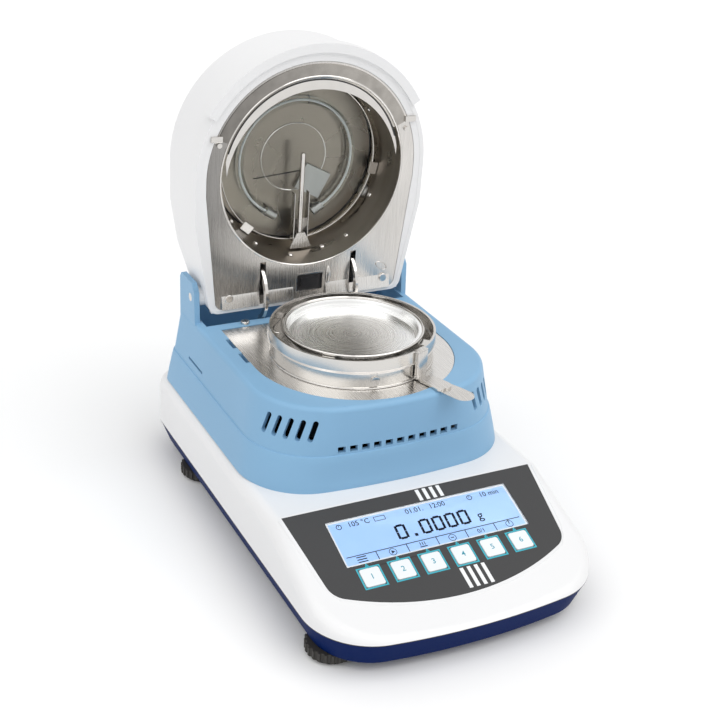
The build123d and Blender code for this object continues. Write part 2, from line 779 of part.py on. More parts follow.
# Curved guide arms around the hinge axis, fixed to the wall of the well
guide_start = 122.0
guide_end = 240.0
for name, side in (("left", -1), ("right", 1)):
    x = side * guide_x
    arc_face = Plane(origin=(x, hinge_y, hinge_z), x_dir=(0, 1, 0), z_dir=(1, 0, 0))
    outer = Circle(guide_radius + guide_width / 2) - Circle(guide_radius - guide_width / 2)
    sector_points = [(0, 0)]
    reach = 2.2 * guide_radius
    for k in range(5):
        turn = radians(guide_start + (guide_end - guide_start) * k / 4)
        sector_points.append((reach * cos(turn), reach * sin(turn)))
    sector = make_face(Polyline(*sector_points, close=True))
    arm = extrude(arc_face * (outer & sector), guide_thickness / 2, both=True)
    end_y = hinge_y + guide_radius * cos(radians(guide_end))
    end_z = hinge_z + guide_radius * sin(radians(guide_end))
    arm = arm + block(
        (x - guide_thickness / 2, well_front_y, end_z - 5),
        (x + guide_thickness / 2, end_y + 1.5, end_z + 0.6),
    )
    arm = arm + block((x - 5, well_front_y, end_z - 16), (x + 5, well_front_y + 1.6, end_z - 1))
    save(f"guide_arm_{name}", arm.solids()[0])


def opened(shape):
    """Turn a piece of the lid from shut to open."""
    there = Pos(0, hinge_y, hinge_z)
    back = Pos(0, -hinge_y, -hinge_z)
    return there * Rot(-lid_open, 0, 0) * back * shape


def arch(radius, half_rear, reach, taper):
    """Outline of the lid seen from below: round in front, narrower at the rear."""
    arc = ThreePointArc((-radius, bowl_y), (0, bowl_y - radius), (radius, bowl_y))
    rest = Polyline(
        (radius, bowl_y),
        (radius, bowl_y + taper),
        (half_rear, bowl_y + reach),
        (-half_rear, bowl_y + reach),
        (-radius, bowl_y + taper),
        (-radius, bowl_y),
    )
    return make_face([arc, *rest.edges()])


def hood_solid(inset, low_z, rounding):
    """Lid shell moved in by inset, with a slope at the rear and rounded upper edges."""
    face = arch(hood_radius - inset, hood_half_rear - inset, hood_rear_reach - inset, hood_taper_start)
    face = fillet(face.vertices().sort_by(Axis.Y)[-2:], 8.0 - inset)
    top = lid_plane_z + hood_depth - inset
    solid = extrude(Pos(0, 0, low_z) * face, top - low_z)
    drop = inset * sqrt(1 + hood_slope ** 2)
    rear = bowl_y + hood_rear_reach
    wedge = make_face(Polyline(
        (bowl_y + hood_slope_start - 30, lid_plane_z + hood_depth - drop + 30 * hood_slope),
        (rear + 30, lid_plane_z + hood_slope_low - drop - 30 * hood_slope),
        (rear + 30, lid_plane_z + hood_depth + 60),
        (bowl_y + hood_slope_start - 30, lid_plane_z + hood_depth + 60),
        close=True,
    ))
    solid = solid - extrude(Plane.YZ * wedge, body_width, both=True)
    solid = solid.solids()[0]
    upper = solid.faces().sort_by(Axis.Z)[-1].edges()
    return fillet(upper, rounding)


hood_slope = (hood_depth - hood_slope_low) / (hood_rear_reach - hood_slope_start)
hood_low_z = lid_plane_z - hood_edge_drop
hood = hood_solid(0, hood_low_z, hood_round)
hood = hood - hood_solid(hood_wall, hood_low_z - 1, hood_inner_round)
ledge_low = lid_plane_z + lid_plate_thickness
frame_face = arch(hood_radius - 1, hood_half_rear - 1, hood_rear_reach - 1, hood_taper_start)


def lid_plate_outline(grow):
    """Outline of the steel plate in the lid."""
    taper = 10.0
    arc_half = lid_plate_half + grow
    face = arch(arc_half, lid_plate_half_rear + grow, lid_plate_rear + grow, taper)
    return fillet(face.vertices().sort_by(Axis.Y)[-2:], 6.0 + grow / 2)


frame_low = hood_low_z + 0.3
frame = extrude(Pos(0, 0, frame_low) * frame_face, ledge_low + hood_ledge_thickness - frame_low)
frame = frame - extrude(Pos(0, 0, hood_low_z - 1) * lid_plate_outline(0.3), ledge_low - hood_low_z + 1)
frame = frame - extrude(Pos(0, 0, hood_low_z - 1) * lid_plate_outline(-hood_ledge), 20)
hood = hood + frame
lip = tube(lip_outer, lip_inner, hood_low_z + hood_edge_drop - lip_drop, hood_low_z + lip_height, 0, bowl_y)
lip_points = [(0, bowl_y)]
for k in range(7):
    turn = radians(-90 - lip_span / 2 + lip_span * k / 6)
    lip_points.append((2 * lip_outer * cos(turn), bowl_y + 2 * lip_outer * sin(turn)))
lip_sector = extrude(Pos(0, 0, lid_plane_z - 20) * make_face(Polyline(*lip_points, close=True)), 60)
lip = (lip & lip_sector).solids()[0]
hood = hood + lip
knuckle_radius = 7.0
knuckle_gap = 0.5
for side in (-1, 1):
    near = side * boss_inner_x
    far = side * (house_half_top - ear_thickness - knuckle_gap)
    hood = hood + rod(knuckle_radius, (near, hinge_y, hinge_z), (far, hinge_y, hinge_z))
bore = hinge_pin_radius + hinge_running_gap
for side in (-1, 1):
    near = side * (boss_inner_x - 2)
    far = side * house_half_top
    hood = hood - rod(bore, (near, hinge_y, hinge_z), (far, hinge_y, hinge_z))
hood = hood.solids().sort_by(SortBy.VOLUME)[-1]
save("hood_shell", opened(hood))


def lid_block(x_low, x_high, u_low, u_high, d_low, d_high):
    """Box in the lid: x across, u from the chamber's middle to the front, d up from the plate."""
    low = (x_low, bowl_y - u_high, lid_plane_z + d_low)
    high = (x_high, bowl_y - u_low, lid_plane_z + d_high)
    return block(low, high)


# Steel plate of the lid
lid_plate = extrude(Pos(0, 0, lid_plane_z) * lid_plate_outline(0), lid_plate_thickness)
lid_plate = lid_plate - rod(opening_radius, (0, bowl_y, lid_plane_z - 1), (0, bowl_y, lid_plane_z + 3))
for side in (-1, 1):
    half = guide_slot_width / 2
    lid_plate = lid_plate - lid_block(
        side * guide_x - half, side * guide_x + half, -guide_slot_end, -guide_slot_start - 2, -1, 3)
lid_plate = lid_plate - lid_block(
    window_x - window_width / 2, window_x + window_width / 2, -window_end, -window_start, -1, 3)
plate_screw_places = [(side * 62.0, -89.0) for side in (-1, 1)]
save("lid_plate", opened(lid_plate.solids()[0]))

# Reflector drum: a cone with a flat back
drum_low = lid_plane_z + lid_plate_thickness
drum_high = drum_low + drum_depth
drum_front = opening_radius + 0.2
drum_face = make_face(Polyline(
    (drum_front, drum_low),
    (drum_front + 5, drum_low),
    (drum_front + 5, drum_low + drum_wall),
    (drum_front + drum_wall, drum_low + drum_wall),
    (drum_back_radius + drum_wall, drum_high),
    (0, drum_high),
    (0, drum_high - drum_wall),
    (drum_back_radius, drum_high - drum_wall),
    close=True,
))
drum = Pos(0, bowl_y) * revolve(Plane.XZ * drum_face, Axis.Z)
save("reflector_drum", opened(drum.solids()[0]))


def around(angle, radius, depth):
    """Plane in the lid at an angle about the chamber's axis, facing outwards."""
    turn = radians(angle)
    out = Vector(cos(turn), -sin(turn), 0)
    return Plane(origin=Vector(0, bowl_y, lid_plane_z + depth) + out * radius, x_dir=(0, 0, 1), z_dir=out)


def drum_inner(depth):
    """Inner radius of the drum at a depth above the plate."""
    share = (depth - lid_plate_thickness) / (drum_depth - drum_wall)
    return drum_front + (drum_back_radius - drum_front) * share


# Protective glass held by three clips
glass_low = lid_plane_z + glass_level
glass = rod(glass_radius, (0, bowl_y, glass_low), (0, bowl_y, glass_low + glass_thickness))
save("protective_glass", opened(glass))
clip_angles = [-10.0, 110.0, 230.0]
clip_width = 9.0
clip_grip = 2.0
clip_sheet = 1.2
clips = []
for angle in clip_angles:
    wall_radius = drum_inner(glass_level + 0.5)
    length = wall_radius - glass_radius + clip_grip - 0.3
    shelf = around(angle, glass_radius - clip_grip, glass_level - clip_sheet / 2 - 0.02)
    clip = shelf * Pos(0, 0, length / 2) * Box(clip_sheet, clip_width, length)
    post_length = drum_inner(glass_level + 6) - glass_radius - 0.6
    post = around(angle, glass_radius + 0.4, glass_level + glass_thickness / 2 + 1)
    post = post * Pos(0, 0, post_length / 2) * Box(glass_thickness + 4, clip_width, post_length)
    clips.append((clip + post).solids()[0])
save("glass_clips", group([opened(clip) for clip in clips]))

# Ring-shaped lamp with two holders that hang from the drum's back
lamp_z = lid_plane_z + lamp_level
lamp_plane = Plane(origin=(0, bowl_y, lamp_z), x_dir=(1, 0, 0), z_dir=(0, 0, 1))
lamp_start = 90 + lamp_gap_angle / 2
lamp_arc = lamp_plane * CenterArc((0, 0), lamp_radius, lamp_start, 360 - lamp_gap_angle)
lamp_profile = Plane(origin=lamp_arc @ 0, z_dir=lamp_arc % 0) * Circle(lamp_tube)
lamp = sweep(lamp_profile, path=lamp_arc)
save("lamp_tube", opened(lamp.solids()[0]))
holders = []
back_z = drum_high - drum_wall
for end in (0, 1):
    spot = lamp_arc @ end
    ahead = lamp_arc % end
    away = ahead * (-1 if end == 0 else 1)
    near = spot + away * 0.1
    far = spot + away * 9
    body = rod(lamp_tube + 0.5, near, far)
    stem = block((spot.X - 2.5, spot.Y - 2.5, lamp_z), (spot.X + 2.5, spot.Y + 2.5, back_z))
    stem = Pos(*(away * 4.5)) * stem
    holders.append((body + stem).solids()[0])
save("lamp_holders", group([opened(holder) for holder in holders]))

# Temperature sensor: a slim tube on a bracket screwed to the rear wall of the drum
sensor_z = lid_plane_z + sensor_level
sensor_end_y = bowl_y - sensor_tip
sensor_start_y = bowl_y - sensor_root
sensor = rod(sensor_radius, (sensor_x, sensor_end_y, sensor_z), (sensor_x, sensor_start_y, sensor_z))
sensor = fillet(sensor.edges().sort_by(Axis.Y)[0], 1.0)
save("sensor_tube", opened(sensor))
bracket_half = 10.0
bracket_face = make_face(Polyline(
    (sensor_x - bracket_half, sensor_start_y + 2.0),
    (sensor_x + bracket_half, sensor_start_y + 2.0),
    (sensor_x + 3.2, sensor_start_y - 12),
    (sensor_x - 3.2, sensor_start_y - 12),
    close=True,
))
bracket = extrude(Pos(0, 0, sensor_z - sensor_radius - 1.2) * bracket_face, 1.2)
saddle_front = (sensor_x, sensor_start_y - 11, sensor_z)
saddle = rod(sensor_radius + 1.2, saddle_front, (sensor_x, sensor_start_y - 2, sensor_z))
bracket = bracket + saddle
leg = block(
    (sensor_x - bracket_half, sensor_start_y + 0.6, drum_low + 1.4),
    (sensor_x + bracket_half, sensor_start_y + 2.0, sensor_z - sensor_radius),
)
bracket = bracket + leg
sensor_tip_place = (sensor_x, sensor_end_y, sensor_z)
bracket = bracket - rod(sensor_radius, sensor_tip_place, (sensor_x, sensor_start_y, sensor_z))
bracket = bracket & rod(drum_inner(sensor_level + 4), (0, bowl_y, lid_plane_z), (0, bowl_y, drum_high))
save("sensor_bracket", opened(bracket.solids().sort_by(SortBy.VOLUME)[-1]))

# Flat cover over the lamp's terminals, on the drum's back
cover = Pos(15, bowl_y + 19, back_z - 1.6) * Rot(0, 0, 28) * Box(22, 20, 3.2)
save("terminal_cover", opened(cover))

# Catch block behind the plate's window, plate screws, and guide pins at the ends of the band
catch_grow = 1.5
catch = lid_block(
    window_x - window_width / 2 - catch_grow, window_x + window_width / 2 + catch_grow,
    -window_end - catch_grow, -window_start + catch_grow,
    lid_plate_thickness, lid_plate_thickness + 7)
catch_half = window_width / 2 - 3
catch = catch + lid_block(
    window_x - catch_half, window_x + catch_half, -window_end + 3, -window_start - 3, 0.2, 2)
save("catch_block", opened(catch.solids()[0]))
plate_screws = []
for x, u in plate_screw_places:
    y = bowl_y - u
    head = rod(screw_head_radius, (x, y, lid_plane_z - 0.1 - 1.6), (x, y, lid_plane_z))
    plate_screws.append(fillet(head.edges().group_by(Axis.Z)[0], 0.6))
save("plate_screws", group([opened(item) for item in plate_screws]))
pin_x = 71.5
pin_u = 27.0
pin_radius = 1.8
band_pins = []
for side in (-1, 1):
    place = (side * pin_x, bowl_y - pin_u)
    low = lid_plane_z - 1.8
    band_pins.append(rod(pin_radius, (*place, low), (*place, lid_plane_z)))
save("band_pins", group([opened(item) for item in band_pins]))
print("lid", [shape.is_valid for shape in (hood, lid_plate, drum, glass, lamp, bracket, cover)])
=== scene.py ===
import bpy, bmesh, math
from mathutils import Matrix, Vector


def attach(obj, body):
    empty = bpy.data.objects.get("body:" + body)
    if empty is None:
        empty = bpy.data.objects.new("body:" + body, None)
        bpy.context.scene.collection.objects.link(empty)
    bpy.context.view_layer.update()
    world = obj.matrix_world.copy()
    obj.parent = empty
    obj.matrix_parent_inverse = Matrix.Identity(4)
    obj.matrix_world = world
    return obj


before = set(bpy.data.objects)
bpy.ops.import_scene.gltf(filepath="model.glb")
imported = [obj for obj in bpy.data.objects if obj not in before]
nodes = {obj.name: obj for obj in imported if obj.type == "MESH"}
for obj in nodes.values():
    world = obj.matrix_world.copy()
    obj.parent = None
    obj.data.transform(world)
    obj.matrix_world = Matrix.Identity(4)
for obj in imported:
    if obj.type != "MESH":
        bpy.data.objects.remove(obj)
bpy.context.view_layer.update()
print("frame loaded:", len(nodes), "nodes")
mm = 0.001

# camera fitted to the photograph
camera = {
    "eye": (-0.37576, -0.70194, 0.51701),
    "right": (0.89685, -0.43959, 0.04916),
    "up": (0.15390, 0.41431, 0.89703),
    "lens": 65.366,
    "sensor": 36,
    "near": 50 * mm,
    "shift": (0.00423, 0.00125),
}
lights = {
    "world": 0.54,
    "key": {"from": (0.55, -0.62, 1.25), "strength": 1.25, "angle": 55},
    "soft": {"from": (-0.75, -0.35, 1.0), "strength": 0.98, "angle": 70},
}
# the panel's plane and the lid's turn, as the solids have them
panel = {"origin": (0, -64 * mm, 64 * mm), "tilt": 19.0}
lid = {"hinge": (0, 120 * mm, 139 * mm), "open": 87.6, "middle": 29.5 * mm, "plane": 125 * mm}


# helpers for nodes and meshes
def newMaterial(name):
    mat = bpy.data.materials.new(name)
    mat.use_nodes = True
    tree = mat.node_tree
    return mat, tree, tree.nodes["Principled BSDF"]


def addNode(tree, kind, **values):
    node = tree.nodes.new(kind)
    for key, value in values.items():
        if key in node.inputs:
            node.inputs[key].default_value = value
        else:
            setattr(node, key, value)
    return node


def patternCoords(tree, scale=(1, 1, 1), shift=(0, 0, 0)):
    coords = tree.nodes.new("ShaderNodeTexCoord")
    mapping = tree.nodes.new("ShaderNodeMapping")
    mapping.inputs["Scale"].default_value = scale
    mapping.inputs["Location"].default_value = shift
    tree.links.new(coords.outputs["Object"], mapping.inputs["Vector"])
    return mapping.outputs["Vector"]


def ramp(tree, source, low, high, start=0.3, end=0.7):
    node = tree.nodes.new("ShaderNodeValToRGB")
    node.color_ramp.elements[0].position = start
    node.color_ramp.elements[1].position = end
    node.color_ramp.elements[0].color = low
    node.color_ramp.elements[1].color = high
    tree.links.new(source, node.inputs["Fac"])
    return node.outputs["Color"]


def grey(value):
    return (value, value, value, 1)


def bump(tree, shader, height, strength, distance):
    node = addNode(tree, "ShaderNodeBump", Strength=strength, Distance=distance)
    tree.links.new(height, node.inputs["Height"])
    tree.links.new(node.outputs["Normal"], shader.inputs["Normal"])


def spreadTone(colour, down, up):
    # the darker and the lighter end of a colour's change of tone
    return tuple(c * down for c in colour) + (1,), tuple(min(1, c * up) for c in colour) + (1,)


def plastic(name, colour, roughness, grain=1400, depth=0.02, spread=0.03, coat=0.0, specular=0.5):
    # moulded plastic: fine grain, slight change of tone and of gloss
    mat, tree, shader = newMaterial(name)
    vector = patternCoords(tree)
    cloud = addNode(tree, "ShaderNodeTexNoise", Scale=9.0, Detail=3.0)
    tree.links.new(vector, cloud.inputs["Vector"])
    low, high = spreadTone(colour, 1 - spread, 1 + spread)
    tree.links.new(ramp(tree, cloud.outputs["Fac"], low, high), shader.inputs["Base Color"])
    fine = addNode(tree, "ShaderNodeTexNoise", Scale=float(grain), Detail=2.0)
    tree.links.new(vector, fine.inputs["Vector"])
    gloss = ramp(tree, fine.outputs["Fac"], grey(roughness * 0.88), grey(roughness * 1.12))
    tree.links.new(gloss, shader.inputs["Roughness"])
    bump(tree, shader, fine.outputs["Fac"], depth * 5, 0.05 * mm)
    shader.inputs["Specular IOR Level"].default_value = specular
    shader.inputs["Coat Weight"].default_value = coat
    shader.inputs["Coat Roughness"].default_value = 0.12
    return mat


def steel(name, colour, roughness, stretch, scale, spread=0.14, depth=0.12, cloudShare=0.35, paintedReflection=None):
    # steel brushed in the direction of the stretch, over a cloudy change of tone, with a painted reflection
    # darker towards one end along x where one is given
    mat, tree, shader = newMaterial(name)
    shader.inputs["Metallic"].default_value = 1.0
    lines = addNode(tree, "ShaderNodeTexNoise", Scale=float(scale), Detail=4.0)
    tree.links.new(patternCoords(tree, stretch), lines.inputs["Vector"])
    cloud = addNode(tree, "ShaderNodeTexNoise", Scale=16.0, Detail=3.0)
    tree.links.new(patternCoords(tree), cloud.inputs["Vector"])
    low, high = spreadTone(colour, 1 - spread, 1 + spread)
    mixer = addNode(tree, "ShaderNodeMix", data_type="FLOAT")
    mixer.inputs[0].default_value = cloudShare
    tree.links.new(lines.outputs["Fac"], mixer.inputs[2])
    tree.links.new(cloud.outputs["Fac"], mixer.inputs[3])
    tone = ramp(tree, mixer.outputs[0], low, high)
    if paintedReflection:
        # painted reflection: the sheet's tone runs from darker to plain between two places along x, a dark
        # reflection painted into the colour
        split = tree.nodes.new("ShaderNodeSeparateXYZ")
        tree.links.new(patternCoords(tree), split.inputs["Vector"])
        span = addNode(tree, "ShaderNodeMapRange")
        for key, value in zip(("From Min", "From Max", "To Min", "To Max"), (*paintedReflection, 1.0)):
            span.inputs[key].default_value = value
        tree.links.new(split.outputs["X"], span.inputs["Value"])
        product = tree.nodes.new("ShaderNodeVectorMath")
        product.operation = "MULTIPLY"
        tree.links.new(tone, product.inputs[0])
        tree.links.new(span.outputs["Result"], product.inputs[1])
        tone = product.outputs["Vector"]
    tree.links.new(tone, shader.inputs["Base Color"])
    gloss = ramp(tree, lines.outputs["Fac"], grey(roughness * 0.75), grey(roughness * 1.3))
    tree.links.new(gloss, shader.inputs["Roughness"])
    bump(tree, shader, lines.outputs["Fac"], depth, 0.03 * mm)
    return mat


def turnedSteel(name, colour, roughness, middle, scale, depth):
    # steel turned or spun about an upright axis: fine rings round it
    mat, tree, shader = newMaterial(name)
    shader.inputs["Metallic"].default_value = 1.0
    vector = patternCoords(tree, shift=(-middle[0], -middle[1], 0))
    length = tree.nodes.new("ShaderNodeVectorMath")
    length.operation = "LENGTH"
    flat = tree.nodes.new("ShaderNodeVectorMath")
    flat.operation = "MULTIPLY"
    flat.inputs[1].default_value = (1, 1, 0)
    tree.links.new(vector, flat.inputs[0])
    tree.links.new(flat.outputs["Vector"], length.inputs[0])
    rings = addNode(tree, "ShaderNodeTexNoise", Scale=float(scale), Detail=2.0)
    rings.noise_dimensions = "1D"
    tree.links.new(length.outputs["Value"], rings.inputs["W"])
    low, high = spreadTone(colour, 0.9, 1.08)
    tree.links.new(ramp(tree, rings.outputs["Fac"], low, high), shader.inputs["Base Color"])
    gloss = ramp(tree, rings.outputs["Fac"], grey(roughness * 0.8), grey(roughness * 1.3))
    tree.links.new(gloss, shader.inputs["Roughness"])
    bump(tree, shader, rings.outputs["Fac"], depth, 0.02 * mm)
    return mat


def clearGlass(name, colour, ior, roughness=0.02):
    mat, tree, shader = newMaterial(name)
    shader.inputs["Base Color"].default_value = (*colour, 1)
    shader.inputs["Transmission Weight"].default_value = 1.0
    shader.inputs["IOR"].default_value = ior
    smear = addNode(tree, "ShaderNodeTexNoise", Scale=30.0, Detail=3.0)
    tree.links.new(patternCoords(tree), smear.inputs["Vector"])
    gloss = ramp(tree, smear.outputs["Fac"], grey(roughness * 0.5), grey(roughness * 2))
    tree.links.new(gloss, shader.inputs["Roughness"])
    return mat


def glow(name, colour, strength):
    mat, tree, shader = newMaterial(name)
    cloud = addNode(tree, "ShaderNodeTexNoise", Scale=20.0, Detail=1.0)
    tree.links.new(patternCoords(tree), cloud.inputs["Vector"])
    low, high = spreadTone(colour, 0.97, 1)
    tree.links.new(ramp(tree, cloud.outputs["Fac"], low, high), shader.inputs["Base Color"])
    shader.inputs["Roughness"].default_value = 0.4
    shader.inputs["Emission Color"].default_value = (*colour, 1)
    shader.inputs["Emission Strength"].default_value = strength
    return mat


bowlMiddle = (0, lid["middle"])
finish = {
    "white": plastic("whiteShell", (0.80, 0.80, 0.805), 0.38, depth=0.012, spread=0.012, coat=0.08),
    "lightBlue": plastic("lightBlueShell", (0.225, 0.42, 0.62), 0.45, depth=0.03, specular=0.35),
    "darkBlue": plastic("darkBlueTray", (0.0025, 0.014, 0.088), 0.5, depth=0.03, specular=0.04),
    "foil": plastic("controlFoil", (0.048, 0.048, 0.049), 0.6, grain=2600, depth=0.03, specular=0.3),
    "ink": plastic("whiteInk", (0.82, 0.83, 0.84), 0.55, grain=2600, depth=0.02),
    "cyan": plastic("cyanInk", (0.035, 0.40, 0.50), 0.5, grain=2600, depth=0.02),
    "digit": plastic("tealInk", (0.02, 0.30, 0.40), 0.5, grain=2600, depth=0.02),
    "key": plastic("keyCap", (0.80, 0.83, 0.85), 0.45, grain=2200, depth=0.02),
    "lcd": glow("litDisplay", (0.47, 0.66, 0.90), 0.24),
    "segment": plastic(
        "displaySegment", (0.004, 0.007, 0.02), 0.6, grain=2600, depth=0.01, specular=0.1),
    "window": clearGlass("displayWindow", (0.97, 0.99, 1.0), ior=1.2),
    "glass": clearGlass("heatProofGlass", (0.95, 0.97, 0.96), ior=1.18),
    # brushed and band steel carry a painted reflection: darker towards the left, from x -85 mm to plain at x
    # 30 mm
    "brushed": steel(
        "brushedSteel", (0.62, 0.60, 0.575), 0.24, stretch=(90, 1, 1), scale=45, spread=0.2,
        paintedReflection=(-85 * mm, 30 * mm, 0.4)),
    "bandSteel": steel(
        "bandSteel", (0.36, 0.34, 0.315), 0.2, stretch=(4, 4, 4), scale=30, spread=0.2, depth=0.03,
        paintedReflection=(-85 * mm, 30 * mm, 0.45)),
    "plateSteel": steel("plateSteel", (0.68, 0.665, 0.645), 0.24, stretch=(60, 1, 1), scale=40),
    "polished": steel(
        "polishedSteel", (0.63, 0.61, 0.585), 0.13, stretch=(2, 2, 2), scale=60, spread=0.05, depth=0.03),
    "drum": steel(
        "drumSteel", (0.27, 0.24, 0.205), 0.3, stretch=(1, 5, 1), scale=14, spread=0.22, depth=0.002),
    "turned": turnedSteel("turnedSteel", (0.66, 0.64, 0.61), 0.2, bowlMiddle, scale=2600, depth=0.1),
    "dish": turnedSteel("spunDish", (0.90, 0.90, 0.89), 0.26, bowlMiddle, scale=900, depth=0.2),
    "black": plastic("blackPlastic", (0.012, 0.012, 0.014), 0.4),
    "knurl": plastic("footPlastic", (0.035, 0.032, 0.028), 0.55, depth=0.05),
    "rubber": plastic("softRubber", (0.018, 0.018, 0.018), 0.75, grain=900, depth=0.08),
    "board": plastic("circuitBoard", (0.02, 0.16, 0.08), 0.35, grain=800),
    "cast": plastic("castBlock", (0.25, 0.26, 0.27), 0.45, depth=0.06),
    "cover": steel("coverSteel", (0.42, 0.42, 0.41), 0.4, stretch=(1, 1, 1), scale=200, spread=0.06),
}
wear = {
    "upper_housing": "white", "hood_shell": "white", "drying_housing": "lightBlue", "base_tray": "darkBlue",
    "panel_foil": "foil", "display_window": "window", "display_module": "lcd", "key_board": "board",
    "crossbar_screws": "polished", "heat_plate": "plateSteel", "draft_shield": "turned",
    "shield_screws": "polished", "pan_carrier": "polished", "load_cell": "cover", "cell_mount": "cast",
    "power_supply": "cover", "main_board": "board", "mains_inlet": "black", "fuse_drawer": "black",
    "serial_socket": "cover", "tray_screws": "polished", "hinge_pin_left": "polished",
    "hinge_pin_right": "polished", "guide_arm_left": "polished", "guide_arm_right": "polished",
    "lid_plate": "brushed", "reflector_drum": "drum", "protective_glass": "glass", "glass_clips": "polished",
    "lamp_tube": "glass", "lamp_holders": "cover", "sensor_tube": "polished", "sensor_bracket": "brushed",
    "terminal_cover": "cover", "catch_block": "black", "plate_screws": "polished", "band_pins": "polished",
    "sample_lifter": "turned", "sample_dish": "dish",
}
for name in nodes:
    if name.startswith("key_") and name != "key_board":
        wear[name] = "key"
    if name.startswith("foot_pad"):
        wear[name] = "rubber"
    if name.startswith("foot_wheel"):
        wear[name] = "knurl"

edge = {
    "wide": ("upper_housing", "hood_shell", "drying_housing", "base_tray"), "wideSize": 0.5 * mm,
    "size": 0.2 * mm, "segments": 2, "angle": 38, "weld": 0.01 * mm, "smoothUnder": 35,
}
for name, obj in nodes.items():
    obj.data.materials.clear()
    obj.data.materials.append(finish[wear[name]])
    obj.data.shade_smooth()
    weld = obj.modifiers.new("weld", "WELD")
    weld.merge_threshold = edge["weld"]
    bevel = obj.modifiers.new("softEdge", "BEVEL")
    bevel.width = edge["wideSize"] if name in edge["wide"] else edge["size"]
    bevel.segments = edge["segments"]
    bevel.limit_method = "ANGLE"
    bevel.angle_limit = math.radians(edge["angle"])
    bevel.use_clamp_overlap = True
    bevel.harden_normals = False
    normals = obj.modifiers.new("evenLight", "WEIGHTED_NORMAL")
    normals.keep_sharp = False
print("finishes on the solids")


# places of the new pieces: the model's own, the panel's face and the lid plate's face
here = Matrix.Identity(4)
tilt = math.radians(panel["tilt"])
panelMatrix = Matrix.Translation(panel["origin"]) @ Matrix.Rotation(tilt, 4, "X")
hinge = Matrix.Translation(lid["hinge"])
lidMatrix = hinge @ Matrix.Rotation(math.radians(-lid["open"]), 4, "X") @ hinge.inverted()
lidMatrix = lidMatrix @ Matrix.Translation((0, lid["middle"], lid["plane"])) @ Matrix.Diagonal((1, -1, 1, 1))


def finishPiece(name, bm, place, material, body, smooth=True):
    # the mesh goes to its place, and the object stays at the origin
    data = bpy.data.meshes.new(name)
    bmesh.ops.recalc_face_normals(bm, faces=bm.faces)
    bm.to_mesh(data)
    bm.free()
    data.transform(place)
    if place.determinant() < 0:
        data.flip_normals()
    if smooth:
        data.shade_smooth()
        data.set_sharp_from_angle(angle=math.radians(edge["smoothUnder"]))
    data.materials.append(finish[material])
    obj = bpy.data.objects.new(name, data)
    bpy.context.scene.collection.objects.link(obj)
    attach(obj, body)


def addBox(bm, low, high, bevelSize=0.0):
    made = bmesh.ops.create_cube(bm, size=1.0)
    verts = made["verts"]
    size = Vector(high) - Vector(low)
    middle = (Vector(high) + Vector(low)) / 2
    bmesh.ops.scale(bm, vec=size, verts=verts)
    bmesh.ops.translate(bm, vec=middle, verts=verts)
    if bevelSize:
        edges = list({e for v in verts for e in v.link_edges})
        bmesh.ops.bevel(
            bm, geom=edges, offset=bevelSize, affect="EDGES", segments=2, profile=0.5, material=-1)


def addText(bm, words, x, y, size, level, thickness):
    # words as a thin raised print
    curve = bpy.data.curves.new("print", "FONT")
    curve.body = words
    curve.size = size
    curve.align_x = "CENTER"
    curve.align_y = "CENTER"
    curve.extrude = thickness / 2
    curve.offset = size * 0.004  # a little bolder
    curve.resolution_u = 3
    holder = bpy.data.objects.new("print", curve)
    data = bpy.data.meshes.new_from_object(holder)
    data.transform(Matrix.Translation((x, y, level + thickness / 2)))
    addMesh(bm, data)
    bpy.data.objects.remove(holder)


def addMesh(bm, data):
    bm.from_mesh(data)
    bpy.data.meshes.remove(data)


def addRing(bm, profile, start=0.0, end=360.0, steps=96, middle=(0, 0)):
    # a closed profile of (radius, level) spun round the middle
    turn = math.radians(start)
    verts = []
    for r, z in profile:
        verts.append(bm.verts.new((middle[0] + r * math.cos(turn), middle[1] + r * math.sin(turn), z)))
    edges = [bm.edges.new((verts[i - 1], verts[i])) for i in range(len(verts))]
    full = end - start >= 360
    made = bmesh.ops.spin(
        bm, geom=verts + edges, cent=(middle[0], middle[1], 0), axis=(0, 0, 1),
        angle=math.radians(end - start), steps=steps, use_merge=full)
    if not full:
        for loop in (edges, [e for e in made["geom_last"] if isinstance(e, bmesh.types.BMEdge)]):
            bmesh.ops.edgeloop_fill(bm, edges=loop)


def roundProfile(radius, level, thick, sides=10):
    turns = [2 * math.pi * k / sides for k in range(sides)]
    return [(radius + thick * math.cos(t), level + thick * math.sin(t)) for t in turns]


def addTube(bm, points, thick, sides):
    # a round bar along points
    curve = bpy.data.curves.new("bar", "CURVE")
    curve.dimensions = "3D"
    spline = curve.splines.new("POLY")
    spline.points.add(len(points) - 1)
    for point, place in zip(spline.points, points):
        point.co = (*place, 1)
    curve.bevel_depth = thick
    curve.bevel_resolution = sides // 2 - 2
    curve.use_fill_caps = True
    holder = bpy.data.objects.new("bar", curve)
    addMesh(bm, bpy.data.meshes.new_from_object(holder))
    bpy.data.objects.remove(holder)


def addPrism(bm, outline, low, high):
    face = bm.faces.new([bm.verts.new((x, y, low)) for x, y in outline])
    made = bmesh.ops.extrude_face_region(bm, geom=[face])
    top = [v for v in made["geom"] if isinstance(v, bmesh.types.BMVert)]
    bmesh.ops.translate(bm, vec=(0, 0, high - low), verts=top)


def addSkin(bm, rows):
    # closed loops of points, each bridged to the next and the last to the first
    loops = []
    for row in rows:
        verts = [bm.verts.new(p) for p in row]
        loops.append([bm.edges.new((verts[i - 1], verts[i])) for i in range(len(verts))])
    for one, other in zip(loops, loops[1:] + loops[:1]):
        bmesh.ops.bridge_loops(bm, edges=one + other)


def addTurned(bm, part, matrix):
    # a part made upright, turned into its place
    part.transform(matrix)
    data = bpy.data.meshes.new("part")
    part.to_mesh(data)
    part.free()
    addMesh(bm, data)


# shares of the head's radius and height
screwHead = {"core": 0.35, "side": 0.5, "top": 0.75, "plug": 0.4, "plugHeight": 0.8}


